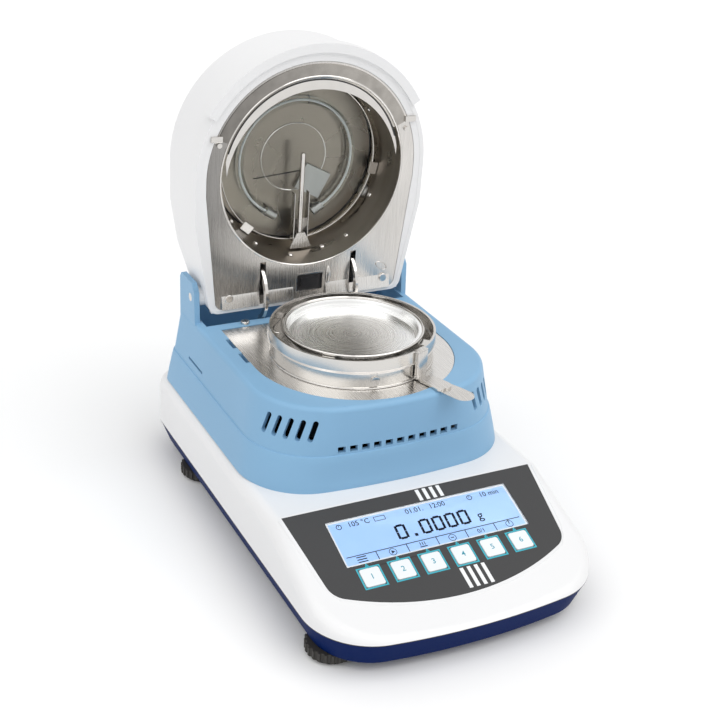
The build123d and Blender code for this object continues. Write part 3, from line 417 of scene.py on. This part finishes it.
def addScrewHead(bm, matrix, radius, height):
    # bevelled head with a sunk middle, its foot at the matrix's origin and its axis along z
    part = bmesh.new()
    core, top, side = screwHead["core"] * radius, screwHead["top"] * radius, screwHead["side"] * height
    addRing(part, [(core, 0), (radius, 0), (radius, side), (top, height), (core, height)], steps=24)
    plug, depth = screwHead["plug"] * radius, screwHead["plugHeight"] * height
    made = bmesh.ops.create_cone(
        part, cap_ends=True, segments=16, radius1=plug, radius2=plug, depth=depth)
    bmesh.ops.translate(part, vec=(0, 0, depth / 2), verts=made["verts"])
    addTurned(bm, part, matrix)


def addRingPiece(name, rings, place, material, body, steps=120, middle=(0, 0)):
    # a piece of round wire rings, each given by its radius, level and thickness in mm and its sides
    bm = bmesh.new()
    for radius, level, thick, sides in rings:
        addRing(bm, roundProfile(radius * mm, level * mm, thick * mm, sides), steps=steps, middle=middle)
    finishPiece(name, bm, place, material, body)


def inMm(points):
    return [tuple(c * mm for c in point) for point in points]


def arcPoints(radius, start, end, steps, middle=(0, 0)):
    turns = [math.radians(start + (end - start) * k / steps) for k in range(steps + 1)]
    return [(middle[0] + radius * math.cos(t), middle[1] + radius * math.sin(t)) for t in turns]


def planPoints(plan, grow):
    # outline with a bowed front and four rounded corners
    half, rear = plan["half"] + grow, plan["rear"] + grow
    corner, rearCorner = plan["corner"] + grow, plan["rearCorner"] + grow
    bow = plan["bow"] + grow
    centre = plan["front"] - grow + bow
    cornerY = centre - math.sqrt((bow - corner) ** 2 - (half - corner) ** 2)
    reach = math.degrees(math.atan2(half - corner, centre - cornerY))
    points = arcPoints(bow, -90 - reach, -90 + reach, 16, (0, centre))
    front = len(points)
    points += arcPoints(corner, reach - 90, 0, 16, (half - corner, cornerY))[1:]
    for k in range(1, 9):
        points.append((half, cornerY + (rear - rearCorner - cornerY) * k / 8))
    points += arcPoints(rearCorner, 0, 90, 8, (half - rearCorner, rear - rearCorner))[1:]
    return points + [(-x, y) for x, y in reversed(points[front:])]


# control panel: print on the foil, heights measured from the foil's face
foilPrint = {
    "height": 0.06 * mm, "stripeWidth": 2.6 * mm, "stripeGap": 5.2 * mm, "stripeCount": 4, "stripeX": 12 * mm,
    "stripeTop": (-11.6 * mm, -2.4 * mm), "stripeLow": (-84.0 * mm, -68.5 * mm),
}
keys = {
    "count": 6, "pitch": 21.6 * mm, "v": -59.2 * mm, "size": 13.4 * mm,
    "frameGap": 0.4 * mm, "line": 1.0 * mm, "tab": (1.1 * mm, 1.2 * mm), "lead": 0.5 * mm,
    "proud": 0.7 * mm, "digit": 5.6 * mm,
}
screen = {
    "v": -30.5 * mm, "width": 133 * mm, "height": 36 * mm, "level": -1.28 * mm, "ink": 0.05 * mm,
    "border": 1.0 * mm, "borderHeight": 0.08 * mm, "inset": 0.3 * mm,
}
keyPlaces = [(index - (keys["count"] - 1) / 2) * keys["pitch"] for index in range(keys["count"])]
screenTop = screen["v"] + screen["height"] / 2
screenLow = screen["v"] - screen["height"] / 2


def addFrame(bm, low, high, line, level, height):
    # four strips round a rectangle, inside it
    (x0, y0), (x1, y1) = low, high
    top = level + height
    addBox(bm, (x0, y0, level), (x1, y0 + line, top))
    addBox(bm, (x0, y1 - line, level), (x1, y1, top))
    addBox(bm, (x0, y0 + line, level), (x0 + line, y1 - line, top))
    addBox(bm, (x1 - line, y0 + line, level), (x1, y1 - line, top))


def addStripes():
    bm = bmesh.new()
    half = foilPrint["stripeWidth"] / 2
    for index in range(foilPrint["stripeCount"]):
        x = foilPrint["stripeX"] + (index - (foilPrint["stripeCount"] - 1) / 2) * foilPrint["stripeGap"]
        for v0, v1 in (foilPrint["stripeTop"], foilPrint["stripeLow"]):
            addBox(bm, (x - half, v0, 0), (x + half, v1, foilPrint["height"]))
    finishPiece("foilStripes", bm, panelMatrix, "ink", "base", False)


def addKeyPrint():
    # a frame round each key with a tab and a line up to the display, and a digit on the key
    height = foilPrint["height"]
    outer = keys["size"] / 2 + keys["frameGap"] + keys["line"]
    v = keys["v"]
    tabHalf, tabHeight = keys["tab"]
    leadTop = screenLow - screen["inset"]
    frames = bmesh.new()
    for index, x in enumerate(keyPlaces):
        addFrame(frames, (x - outer, v - outer), (x + outer, v + outer), keys["line"], 0, height)
        addBox(frames, (x - tabHalf, v + outer, 0), (x + tabHalf, v + outer + tabHeight, height))
        addBox(frames, (x - keys["lead"], v + outer, 0), (x + keys["lead"], leadTop, height))
        number = index + 1
        digit = bmesh.new()
        addText(digit, str(number), x, v, keys["digit"], keys["proud"], height)
        finishPiece(f"keyDigit{number}", digit, panelMatrix, "digit", f"key_{number}", False)
    finishPiece("keyFrames", frames, panelMatrix, "cyan", "base", False)


# the display's reading, the row along its top and the row over the keys, in mm
reading = {
    "drop": 0.6, "noughts": (-20, -2.5, 7, 16.5, 26), "width": 7.6, "height": 11.8, "stroke": 1.7,
    "gap": 0.12, "cut": 0.4, "slant": 0.05, "point": (-12.4, -5.8, -10.2, -3.6),
    "unit": "g", "unitAt": (37.5, -1.6), "unitSize": 9.5,
}
topRow = {
    "drop": 4.6, "size": 5.4, "words": (("105 °C", -44.5), ("01.01.   12:00", 4), ("10 min", 52.5)),
    "dials": (-58.5, 37.5), "dial": (1.5, 2.0), "hand": (0.2, 1.2),
    "box": (-33.5, -25.5, 1.8), "boxLine": 0.4,
}
softRow = {
    "height": 7.6, "line": 0.28, "inset": 3, "foot": 1.2, "lift": 0.4,
    "ring": (2.3, 2.7), "ringed": (1, 3, 5),
    "arrow": ((-0.9, -1.3), (1.5, 0), (-0.9, 1.3)), "words": "0/1", "wordsSize": 4.6,
}
# bars over the keys: the key's index, and each bar's corners in mm
softBars = (
    (0, [(-3.4, v - 0.35, 3.4, v + 0.35) for v in (-1.9, 0, 1.9)]),
    (2, [(-2.6, -1.8, 2.6, -1.1)] + [(x - 0.25, -0.4, x + 0.25, 2.2) for x in (-1.6, 0, 1.6)]),
    (3, [(-1.2, -0.3, 1.2, 0.3)]),
    (5, [(-0.3, 0, 0.3, 3.1)]),
)


def addBar(bm, x, v, bar):
    # a flat bar of display ink, its corners in mm from x and v
    x0, v0, x1, v1 = bar
    low, high = screen["level"], screen["level"] + screen["ink"]
    addBox(bm, (x + x0 * mm, v + v0 * mm, low), (x + x1 * mm, v + v1 * mm, high))


def addInkRing(bm, x, v, radii):
    inner, outer = radii[0] * mm, radii[1] * mm
    low, high = screen["level"], screen["level"] + screen["ink"]
    addRing(bm, [(inner, low), (outer, low), (outer, high), (inner, high)], steps=24, middle=(x, v))


def addNought(bm, x, v):
    # a segment display's nought: six bars, leaning a little
    half, high, stroke = reading["width"] / 2, reading["height"] / 2, reading["stroke"]
    corner = high - reading["cut"] * stroke
    part = bmesh.new()
    addBar(part, 0, 0, (-half + stroke, high - stroke, half - stroke, high))
    addBar(part, 0, 0, (-half + stroke, -high, half - stroke, -high + stroke))
    for left in (-half, half - stroke):
        addBar(part, 0, 0, (left, reading["gap"], left + stroke, corner))
        addBar(part, 0, 0, (left, -corner, left + stroke, -reading["gap"]))
    lean = Matrix(((1, reading["slant"], 0, 0), (0, 1, 0, 0), (0, 0, 1, 0), (0, 0, 0, 1)))
    addTurned(bm, part, Matrix.Translation((x, v, 0)) @ lean)


def addInk(bm, words, x, v, size):
    addText(bm, words, x, v, size * mm, screen["level"], screen["ink"])


def addScreenContent():
    bm = bmesh.new()
    v = screen["v"] - reading["drop"] * mm
    for x in reading["noughts"]:
        addNought(bm, x * mm, v)
    addBar(bm, 0, v, reading["point"])
    x, drop = reading["unitAt"]
    addInk(bm, reading["unit"], x * mm, v + drop * mm, reading["unitSize"])
    # top row: words, two small dials and a box
    v = screenTop - topRow["drop"] * mm
    for words, x in topRow["words"]:
        addInk(bm, words, x * mm, v, topRow["size"])
    half, reach = topRow["hand"]
    for x in topRow["dials"]:
        addInkRing(bm, x * mm, v, topRow["dial"])
        addBar(bm, x * mm, v, (-half, 0, half, reach))
    left, right, half = (size * mm for size in topRow["box"])
    addFrame(bm, (left, v - half), (right, v + half), topRow["boxLine"] * mm, screen["level"], screen["ink"])
    # bottom row: a line, dividers between the keys and a symbol over each
    line = softRow["line"]
    top = screenLow + softRow["height"] * mm
    end = screen["width"] / 2 / mm - softRow["inset"]
    addBar(bm, 0, top, (-end, -line, end, line))
    for x in keyPlaces[1:]:
        addBar(bm, x - keys["pitch"] / 2, screenLow, (-line, softRow["foot"], line, softRow["height"]))
    v = (screenLow + top) / 2 + softRow["lift"] * mm
    for index, bars in softBars:
        for bar in bars:
            addBar(bm, keyPlaces[index], v, bar)
    for index in softRow["ringed"]:
        addInkRing(bm, keyPlaces[index], v, softRow["ring"])
    arrow = [(keyPlaces[1] + x * mm, v + y * mm) for x, y in softRow["arrow"]]
    addPrism(bm, arrow, screen["level"], screen["level"] + screen["ink"])
    addInk(bm, softRow["words"], keyPlaces[4], v, softRow["wordsSize"])
    finishPiece("screenContent", bm, panelMatrix, "segment", "base", False)


def addScreenBorder():
    bm = bmesh.new()
    x, y = screen["width"] / 2 - screen["inset"], screen["height"] / 2 - screen["inset"]
    low, high = (-x, screen["v"] - y), (x, screen["v"] + y)
    addFrame(bm, low, high, screen["border"], screen["level"], screen["borderHeight"])
    finishPiece("screenBorder", bm, panelMatrix, "ink", "base", False)


# a fine raised line round the foil, in mm on the panel: points down its left side, then its bowed front
ridge = {
    "side": ((-94.4, -3.0), (-90.7, -33), (-88.1, -54), (-85.208, -62.6), (-80.4, -70.04)),
    "bow": 180.9, "bowMiddle": 91.5, "bowHalf": 70, "bowSteps": 14, "thick": 0.35 * mm, "level": -0.05 * mm,
}


def addFoilRidge():
    bm = bmesh.new()
    points = list(ridge["side"])
    for k in range(ridge["bowSteps"] + 1):
        x = ridge["bowHalf"] * (2 * k / ridge["bowSteps"] - 1)
        points.append((x, ridge["bowMiddle"] - math.sqrt(ridge["bow"] ** 2 - x * x)))
    points += [(-x, v) for x, v in reversed(ridge["side"])]
    addTube(bm, [(x * mm, v * mm, ridge["level"]) for x, v in points], ridge["thick"], 8)
    finishPiece("foilRidge", bm, panelMatrix, "white", "base")


addStripes()
addKeyPrint()
addScreenContent()
addScreenBorder()
addFoilRidge()
print("panel print")

# lid: band round the top of the opening, a dark gap under it and its two ends
band = {
    "from": 25, "to": 157, "steps": 72, "gapPast": 6,
    # radius and depth in mm
    "profile": (
        (78.6, -0.02), (78.4, -0.45), (77.2, -0.6), (70.2, -0.55),
        (68.0, 0.3), (67.4, 1.0), (68.3, 1.1), (69.3, -0.02)),
    "gap": ((66.8, 0.7), (67.6, 0.7), (67.6, 1.4), (66.8, 1.4)),
}
bandEnds = {
    "x": 73.6 * mm, "places": ((-1, 31.5 * mm), (1, 34.5 * mm)), "half": (4.2 * mm, 2.2 * mm),
    "low": -2.2 * mm, "high": -0.02 * mm, "bevel": 0.5 * mm,
}
# a crescent inside the band, its inner arc shifted down
crescent = {
    "outer": 67.2 * mm, "outerSpan": (12, 168), "inner": 66.3 * mm, "innerSpan": (172, 12),
    "shift": (0.8 * mm, -6.2 * mm), "low": 1.5 * mm, "high": 2.1 * mm, "steps": 60,
}
# rolled edge: radius, level and thickness in mm, and sides
openingEdge = (69.9, -0.1, 0.75, 10)


def addBand():
    bm = bmesh.new()
    addRing(bm, inMm(band["profile"]), band["from"], band["to"], band["steps"])
    finishPiece("lidBand", bm, lidMatrix, "bandSteel", "lid")
    bm = bmesh.new()
    start, end = band["from"] - band["gapPast"], band["to"] + band["gapPast"]
    addRing(bm, inMm(band["gap"]), start, end, band["steps"])
    finishPiece("lidBandGap", bm, lidMatrix, "black", "lid")


def addCrescent():
    bm = bmesh.new()
    outline = arcPoints(crescent["outer"], *crescent["outerSpan"], crescent["steps"])
    outline += arcPoints(crescent["inner"], *crescent["innerSpan"], crescent["steps"], crescent["shift"])
    addPrism(bm, outline, crescent["low"], crescent["high"])
    finishPiece("lidLining", bm, lidMatrix, "polished", "lid")


def addBandEnds():
    bm = bmesh.new()
    halfX, halfU = bandEnds["half"]
    for side, u in bandEnds["places"]:
        x = side * bandEnds["x"]
        low, high = (x - halfX, u - halfU, bandEnds["low"]), (x + halfX, u + halfU, bandEnds["high"])
        addBox(bm, low, high, bandEnds["bevel"])
    finishPiece("bandEnds", bm, lidMatrix, "polished", "lid")


addBand()
addCrescent()
addRingPiece("openingEdge", (openingEdge,), lidMatrix, "polished", "lid")
addBandEnds()

# lid: folded lower edge of the plate, rib, oval boss and the window's frame
fold = {
    "start": -86.8 * mm, "end": -96.8 * mm, "sink": 0.02 * mm, "drop": 2.4 * mm,
    "lipBack": 1.2 * mm, "lipDrop": 0.5 * mm,
    "spans": ((-67.5, -38.6), (-33.4, -11.5), (14.5, 33.4), (38.6, 67.5)),
}
rib = {"middle": (16.2 * mm, -80.6 * mm, -0.1 * mm), "half": (2.1 * mm, 7.2 * mm, 1.7 * mm)}
boss = {
    "middle": (60.5 * mm, -79.5 * mm, 0), "half": (5.2 * mm, 2.4 * mm, 4 * mm),
    "turn": -32, "thick": 0.12,
}
windowFrame = {
    "low": (-9.6 * mm, -92.0 * mm), "high": (12.6 * mm, -77.0 * mm),
    "line": 1.0 * mm, "level": -0.6 * mm, "height": 0.58 * mm,
}
# (u, depth, x) to the lid's own axes
sideways = Matrix(((0, 0, 1, 0), (1, 0, 0, 0), (0, -1, 0, 0), (0, 0, 0, 1)))


def addFold():
    bm = bmesh.new()
    corners = (
        (fold["start"], fold["sink"]), (fold["end"], fold["sink"]), (fold["end"], fold["drop"]),
        (fold["start"] - fold["lipBack"], fold["lipDrop"]))
    for low, high in inMm(fold["spans"]):
        part = bmesh.new()
        addPrism(part, corners, low, high)
        addTurned(bm, part, sideways)
    finishPiece("plateFold", bm, lidMatrix, "plateSteel", "lid")


def addRib():
    bm = bmesh.new()
    made = bmesh.ops.create_uvsphere(bm, u_segments=20, v_segments=12, radius=1.0)
    bmesh.ops.scale(bm, vec=rib["half"], verts=made["verts"])
    bmesh.ops.translate(bm, vec=rib["middle"], verts=made["verts"])
    finishPiece("plateRib", bm, lidMatrix, "brushed", "lid")


def addBoss():
    # a ring made round, then flattened and turned
    bm = bmesh.new()
    addRing(bm, roundProfile(1.0, 0, boss["thick"]), steps=48)
    turn = Matrix.Rotation(math.radians(boss["turn"]), 4, "Z")
    bm.transform(Matrix.Translation(boss["middle"]) @ turn @ Matrix.Diagonal((*boss["half"], 1)))
    finishPiece("plateBoss", bm, lidMatrix, "brushed", "lid")


def addWindowFrame():
    bm = bmesh.new()
    frameSizes = (windowFrame["line"], windowFrame["level"], windowFrame["height"])
    addFrame(bm, windowFrame["low"], windowFrame["high"], *frameSizes)
    finishPiece("windowFrame", bm, lidMatrix, "polished", "lid")


addFold()
addRib()
addBoss()
addWindowFrame()

# lid: inside of the drum, in mm; circle and glass are radius, level, thickness and sides of a round rim
drum = {
    "back": 36.1, "rim": 69.8, "foot": 62.5, "wallFrom": 1.2, "wallDeep": 35,
    "seam": 62.0, "gapThick": 0.45, "seamSink": 0.1, "lineSink": 0.15,
    "lines": (((-10.5, 43.8), (9.8, 45.1), (9.8, 40.6)), ((-31, -14), (11.3, -10.7), (11.3, -6.4))),
    "circle": (25.5, 36.1, 0.5, 10), "glass": (60.1, 25.5, 0.45, 8),
}
drumScrews = {
    # angle in degrees and depth
    "places": ((216, 21), (238, 17), (262, 12), (285, 15), (302, 13), (32, 27), (332, 22)),
    "radius": 1.9 * mm, "height": 1.3 * mm, "sink": 0.2,
}
wallDisc = {
    "angle": -28, "depth": 30, "sink": 0.3,
    "profile": ((0.2, 0), (5.0, 0), (5.0, 1.6), (4.2, 2.2), (0.2, 2.2)),
}
channel = {"sides": (-4.8, 6.4), "sheet": 0.5, "span": (-60, -22), "depths": (18.8, 24), "backTo": -44}
lampCore = {"radius": 44, "span": (-59, 239), "depth": 31.6, "thick": 0.8 * mm}


def wallPlace(angle, depth, sink):
    # a place on the drum's wall, its z axis pointing inwards
    t = math.radians(angle)
    out = Vector((math.cos(t), math.sin(t), 0))
    axes = Matrix((Vector((-out.y, out.x, 0)), Vector((0, 0, 1)), -out)).transposed().to_4x4()
    wall = drum["rim"] - (drum["rim"] - drum["foot"]) * (depth - drum["wallFrom"]) / drum["wallDeep"]
    return Matrix.Translation(out * (wall + sink) * mm + Vector((0, 0, depth * mm))) @ axes


def addBackGaps():
    # dark seam round the drum's back, and two bent lines on it
    bm = bmesh.new()
    thick = drum["gapThick"] * mm
    addRing(bm, roundProfile(drum["seam"] * mm, (drum["back"] - drum["seamSink"]) * mm, thick, 8), steps=96)
    for line in drum["lines"]:
        addTube(bm, inMm([(x, u, drum["back"] - drum["lineSink"]) for x, u in line]), thick, 6)
    finishPiece("backGaps", bm, lidMatrix, "black", "lid")


def addDrumScrews():
    bm = bmesh.new()
    for angle, depth in drumScrews["places"]:
        place = wallPlace(angle, depth, drumScrews["sink"])
        addScrewHead(bm, place, drumScrews["radius"], drumScrews["height"])
    finishPiece("drumScrews", bm, lidMatrix, "polished", "lid")


def addWallDisc():
    bm = bmesh.new()
    disc = bmesh.new()
    addRing(disc, inMm(wallDisc["profile"]), steps=36)
    addTurned(bm, disc, wallPlace(wallDisc["angle"], wallDisc["depth"], wallDisc["sink"]))
    finishPiece("wallDisc", bm, lidMatrix, "cover", "lid")


def addChannel():
    # two side sheets beside the sensor, and a sheet behind them
    bm = bmesh.new()
    sheet = channel["sheet"]
    (u0, u1), (low, high) = channel["span"], channel["depths"]
    left, right = channel["sides"]
    boxes = [((x, u0, low), (x + sheet, u1, high)) for x in (left, right)]
    boxes.append(((left, u0, high), (right + sheet, channel["backTo"], high + sheet)))
    for box in boxes:
        addBox(bm, *inMm(box))
    finishPiece("sensorChannel", bm, lidMatrix, "brushed", "lid")


def addLampCore():
    bm = bmesh.new()
    arc = arcPoints(lampCore["radius"], *lampCore["span"], 72)
    addTube(bm, inMm([(x, u, lampCore["depth"]) for x, u in arc]), lampCore["thick"], 8)
    finishPiece("lampCore", bm, lidMatrix, "ink", "lid")


addRingPiece("backCircle", (drum["circle"],), lidMatrix, "polished", "lid", steps=72)
addBackGaps()
addDrumScrews()
addWallDisc()
addChannel()
addLampCore()
addRingPiece("glassEdge", (drum["glass"],), lidMatrix, "polished", "lid")

# rolled rims of lifter, dish and shield: radius, level and thickness in mm, and sides
rolls = {
    "lifter": ((56.75, 141.9, 0.85, 10), (57.5, 134.2, 0.5, 8)),
    "dish": ((48.9, 141.9, 1.0, 10), (45.4, 139.3, 0.5, 8)),
    "shield": ((56.4, 132.9, 0.55, 8), (56.7, 122.3, 0.7, 8)),
}
# lifter: the hood's rim passes 0.5 mm over the housing, so the tab is a thin sheet under the thicker root
tab = {
    "root": (28.2, -26.6), "tip": (43.0, -63.6), "half": 6.4, "halfWide": 7.6, "widens": (0.25, 0.62),
    "round": 8.4, "low": 122.06 * mm, "thick": 0.36 * mm,
    "rootWidth": 5.4, "rootReach": 15.5, "rootLow": 122.3 * mm, "rootThick": 1.55 * mm,
}
strap = {
    "turn": -64, "half": 5.4, "outer": 60.4, "inner": 58.9, "hook": 55.4,
    "span": (122.9, 142.7), "hookSpan": (141.6, 142.9), "bevel": 0.4 * mm,
}


def addTab():
    bm = bmesh.new()
    root, tip = Vector(tab["root"]), Vector(tab["tip"])
    ahead = (tip - root).normalized()
    side = Vector((-ahead.y, ahead.x))
    reach = (tip - root).length
    first, last = tab["widens"]
    left = [(0, tab["half"]), (first, tab["half"]), (last, tab["halfWide"])]
    outline = [root + ahead * reach * a + side * h for a, h in left]
    for k in range(1, 12):
        t = math.pi * k / 12
        far = reach - tab["round"] + tab["round"] * math.sin(t)
        outline.append(root + ahead * far + side * tab["halfWide"] * math.cos(t))
    outline += [root + ahead * reach * a - side * h for a, h in reversed(left)]
    addPrism(bm, inMm(outline), tab["low"], tab["low"] + tab["thick"])
    # the root lies over the sheet and ends round
    outline = [root + side * tab["rootWidth"], root - side * tab["rootWidth"]]
    for k in range(9):
        t = math.pi * k / 8
        far = tab["rootReach"] + tab["rootWidth"] * math.sin(t)
        outline.append(root + ahead * far - side * tab["rootWidth"] * math.cos(t))
    addPrism(bm, inMm(outline), tab["rootLow"], tab["rootLow"] + tab["rootThick"])
    addStrap(bm)
    finishPiece("lifterTab", bm, here, "brushed", "lifter")


def addStrap(bm):
    # up the shield's outside and hooked over the lifter's ring
    part = bmesh.new()
    half = strap["half"]
    for inner, (low, high) in ((strap["inner"], strap["span"]), (strap["hook"], strap["hookSpan"])):
        addBox(part, *inMm(((inner, -half, low), (strap["outer"], half, high))), strap["bevel"])
    turn = Matrix.Rotation(math.radians(strap["turn"]), 4, "Z")
    addTurned(bm, part, Matrix.Translation((0, lid["middle"], 0)) @ turn)


addRingPiece("lifterRolls", rolls["lifter"], here, "polished", "lifter", middle=bowlMiddle)
addRingPiece("dishRolls", rolls["dish"], here, "polished", "dish", middle=bowlMiddle)
addTab()
addRingPiece("shieldRolls", rolls["shield"], here, "polished", "base", middle=bowlMiddle)

# drying housing: the lower part stands a little proud, with a crease under the row of holes
plans = {
    "low": {
        "half": 95 * mm, "front": -49.5 * mm, "rear": 152 * mm, "bow": 501.39 * mm,
        "corner": 46 * mm, "rearCorner": 12 * mm},
    "top": {
        "half": 86 * mm, "front": -47.5 * mm, "rear": 149 * mm, "bow": 264.14 * mm,
        "corner": 56 * mm, "rearCorner": 12 * mm},
    "level": 64 * mm, "height": 58 * mm,
}
skirt = {
    "from": 64.02 * mm, "to": 88.6 * mm, "inside": -1.0,
    # share of the height, and how far out it stands in mm
    "rows": ((0, 2.0), (0.35, 1.9), (0.8, 1.35), (0.96, 1.05), (1.0, 0.75), (1.02, -0.4)),
}


def addHouseSkirt():
    bm = bmesh.new()
    rows = [[(x, y, skirt["from"]) for x, y in planPoints(plans["low"], skirt["inside"] * mm)]]
    for share, grow in skirt["rows"]:
        z = skirt["from"] + (skirt["to"] - skirt["from"]) * share
        blend = (z - plans["level"]) / plans["height"]
        low = planPoints(plans["low"], grow * mm)
        top = planPoints(plans["top"], grow * mm)
        pairs = zip(low, top)
        rows.append([(x0 + (x1 - x0) * blend, y0 + (y1 - y0) * blend, z) for (x0, y0), (x1, y1) in pairs])
    addSkin(bm, rows)
    finishPiece("houseSkirt", bm, here, "lightBlue", "base")


addHouseSkirt()

# body: painted shadow, a black band under the white housing where it meets the tray, its profile as growth
# and height in mm
body = {
    "half": 101 * mm, "front": -168 * mm, "rear": 168 * mm, "bow": 443.54 * mm,
    "corner": 45 * mm, "rearCorner": 24 * mm,
}
seam = ((-0.9, 26.35), (-0.03, 26.4), (-0.03, 26.98), (-0.9, 26.98))


def addSeamLine():
    # a black band standing in for the shade between housing and tray
    bm = bmesh.new()
    addSkin(bm, [[(x, y, z * mm) for x, y in planPoints(body, grow * mm)] for grow, z in seam])
    finishPiece("seamShadow", bm, here, "black", "base")


addSeamLine()

# drying housing: three small dimples beside the heat plate
dimples = {
    "places": ((-79.5, 22.9), (-38.5, -40.5), (60.0, -27.0)),
    "radius": 1.7 * mm, "level": 121.75 * mm, "thick": 0.3 * mm,
}


def addDimples():
    bm = bmesh.new()
    profile = roundProfile(dimples["radius"], dimples["level"], dimples["thick"], 8)
    for place in inMm(dimples["places"]):
        addRing(bm, profile, steps=28, middle=place)
    finishPiece("rimDimples", bm, here, "lightBlue", "base")


addDimples()
print("details on lid, ring and housing")

# camera
right = Vector(camera["right"]).normalized()
up = Vector(camera["up"]).normalized()
back = right.cross(up).normalized()
up = back.cross(right)
cam = bpy.data.cameras.new("camera")
cam.lens = camera["lens"]
cam.sensor_width = camera["sensor"]
cam.shift_x, cam.shift_y = camera["shift"]
cam.clip_start = camera["near"]
camObject = bpy.data.objects.new("camera", cam)
rotation = Matrix((right, up, back)).transposed().to_4x4()
camObject.matrix_world = Matrix.Translation(camera["eye"]) @ rotation
bpy.context.scene.collection.objects.link(camObject)
bpy.context.scene.camera = camObject

# floor
floorLook = {"size": 6, "colour": (0.96, 0.96, 0.96, 1), "roughness": 0.7}
floorBm = bmesh.new()
bmesh.ops.create_grid(floorBm, x_segments=2, y_segments=2, size=floorLook["size"])
floorData = bpy.data.meshes.new("floor")
floorBm.to_mesh(floorData)
floorBm.free()
floor = bpy.data.objects.new("floor", floorData)
bpy.context.scene.collection.objects.link(floor)
floorMat, tree, shader = newMaterial("paleFloor")
shader.inputs["Base Color"].default_value = floorLook["colour"]
shader.inputs["Roughness"].default_value = floorLook["roughness"]
floorData.materials.append(floorMat)


def addSun(name, spot):
    light = bpy.data.lights.new(name, "SUN")
    light.energy = spot["strength"]
    light.angle = math.radians(spot["angle"])
    obj = bpy.data.objects.new(name, light)
    obj.matrix_world = Vector(spot["from"]).to_track_quat("Z", "Y").to_matrix().to_4x4()
    bpy.context.scene.collection.objects.link(obj)


for name in ("key", "soft"):
    addSun(name, lights[name])

# white to the camera, in metal and in glass, and a plain level of light elsewhere
world = bpy.data.worlds.new("studio")
bpy.context.scene.world = world
world.use_nodes = True
tree = world.node_tree
background = tree.nodes["Background"]
path = tree.nodes.new("ShaderNodeLightPath")
ray = path.outputs["Is Camera Ray"]
for kind in ("Is Glossy Ray", "Is Transmission Ray"):
    most = tree.nodes.new("ShaderNodeMath")
    most.operation = "MAXIMUM"
    tree.links.new(ray, most.inputs[0])
    tree.links.new(path.outputs[kind], most.inputs[1])
    ray = most.outputs[0]
level = addNode(tree, "ShaderNodeMapRange")
level.inputs["To Min"].default_value = lights["world"]
level.inputs["To Max"].default_value = 1.0
tree.links.new(ray, level.inputs["Value"])
tree.links.new(level.outputs[0], background.inputs["Strength"])
background.inputs["Color"].default_value = (1, 1, 1, 1)
bpy.context.scene.view_settings.view_transform = "Standard"
print("camera, floor and light")
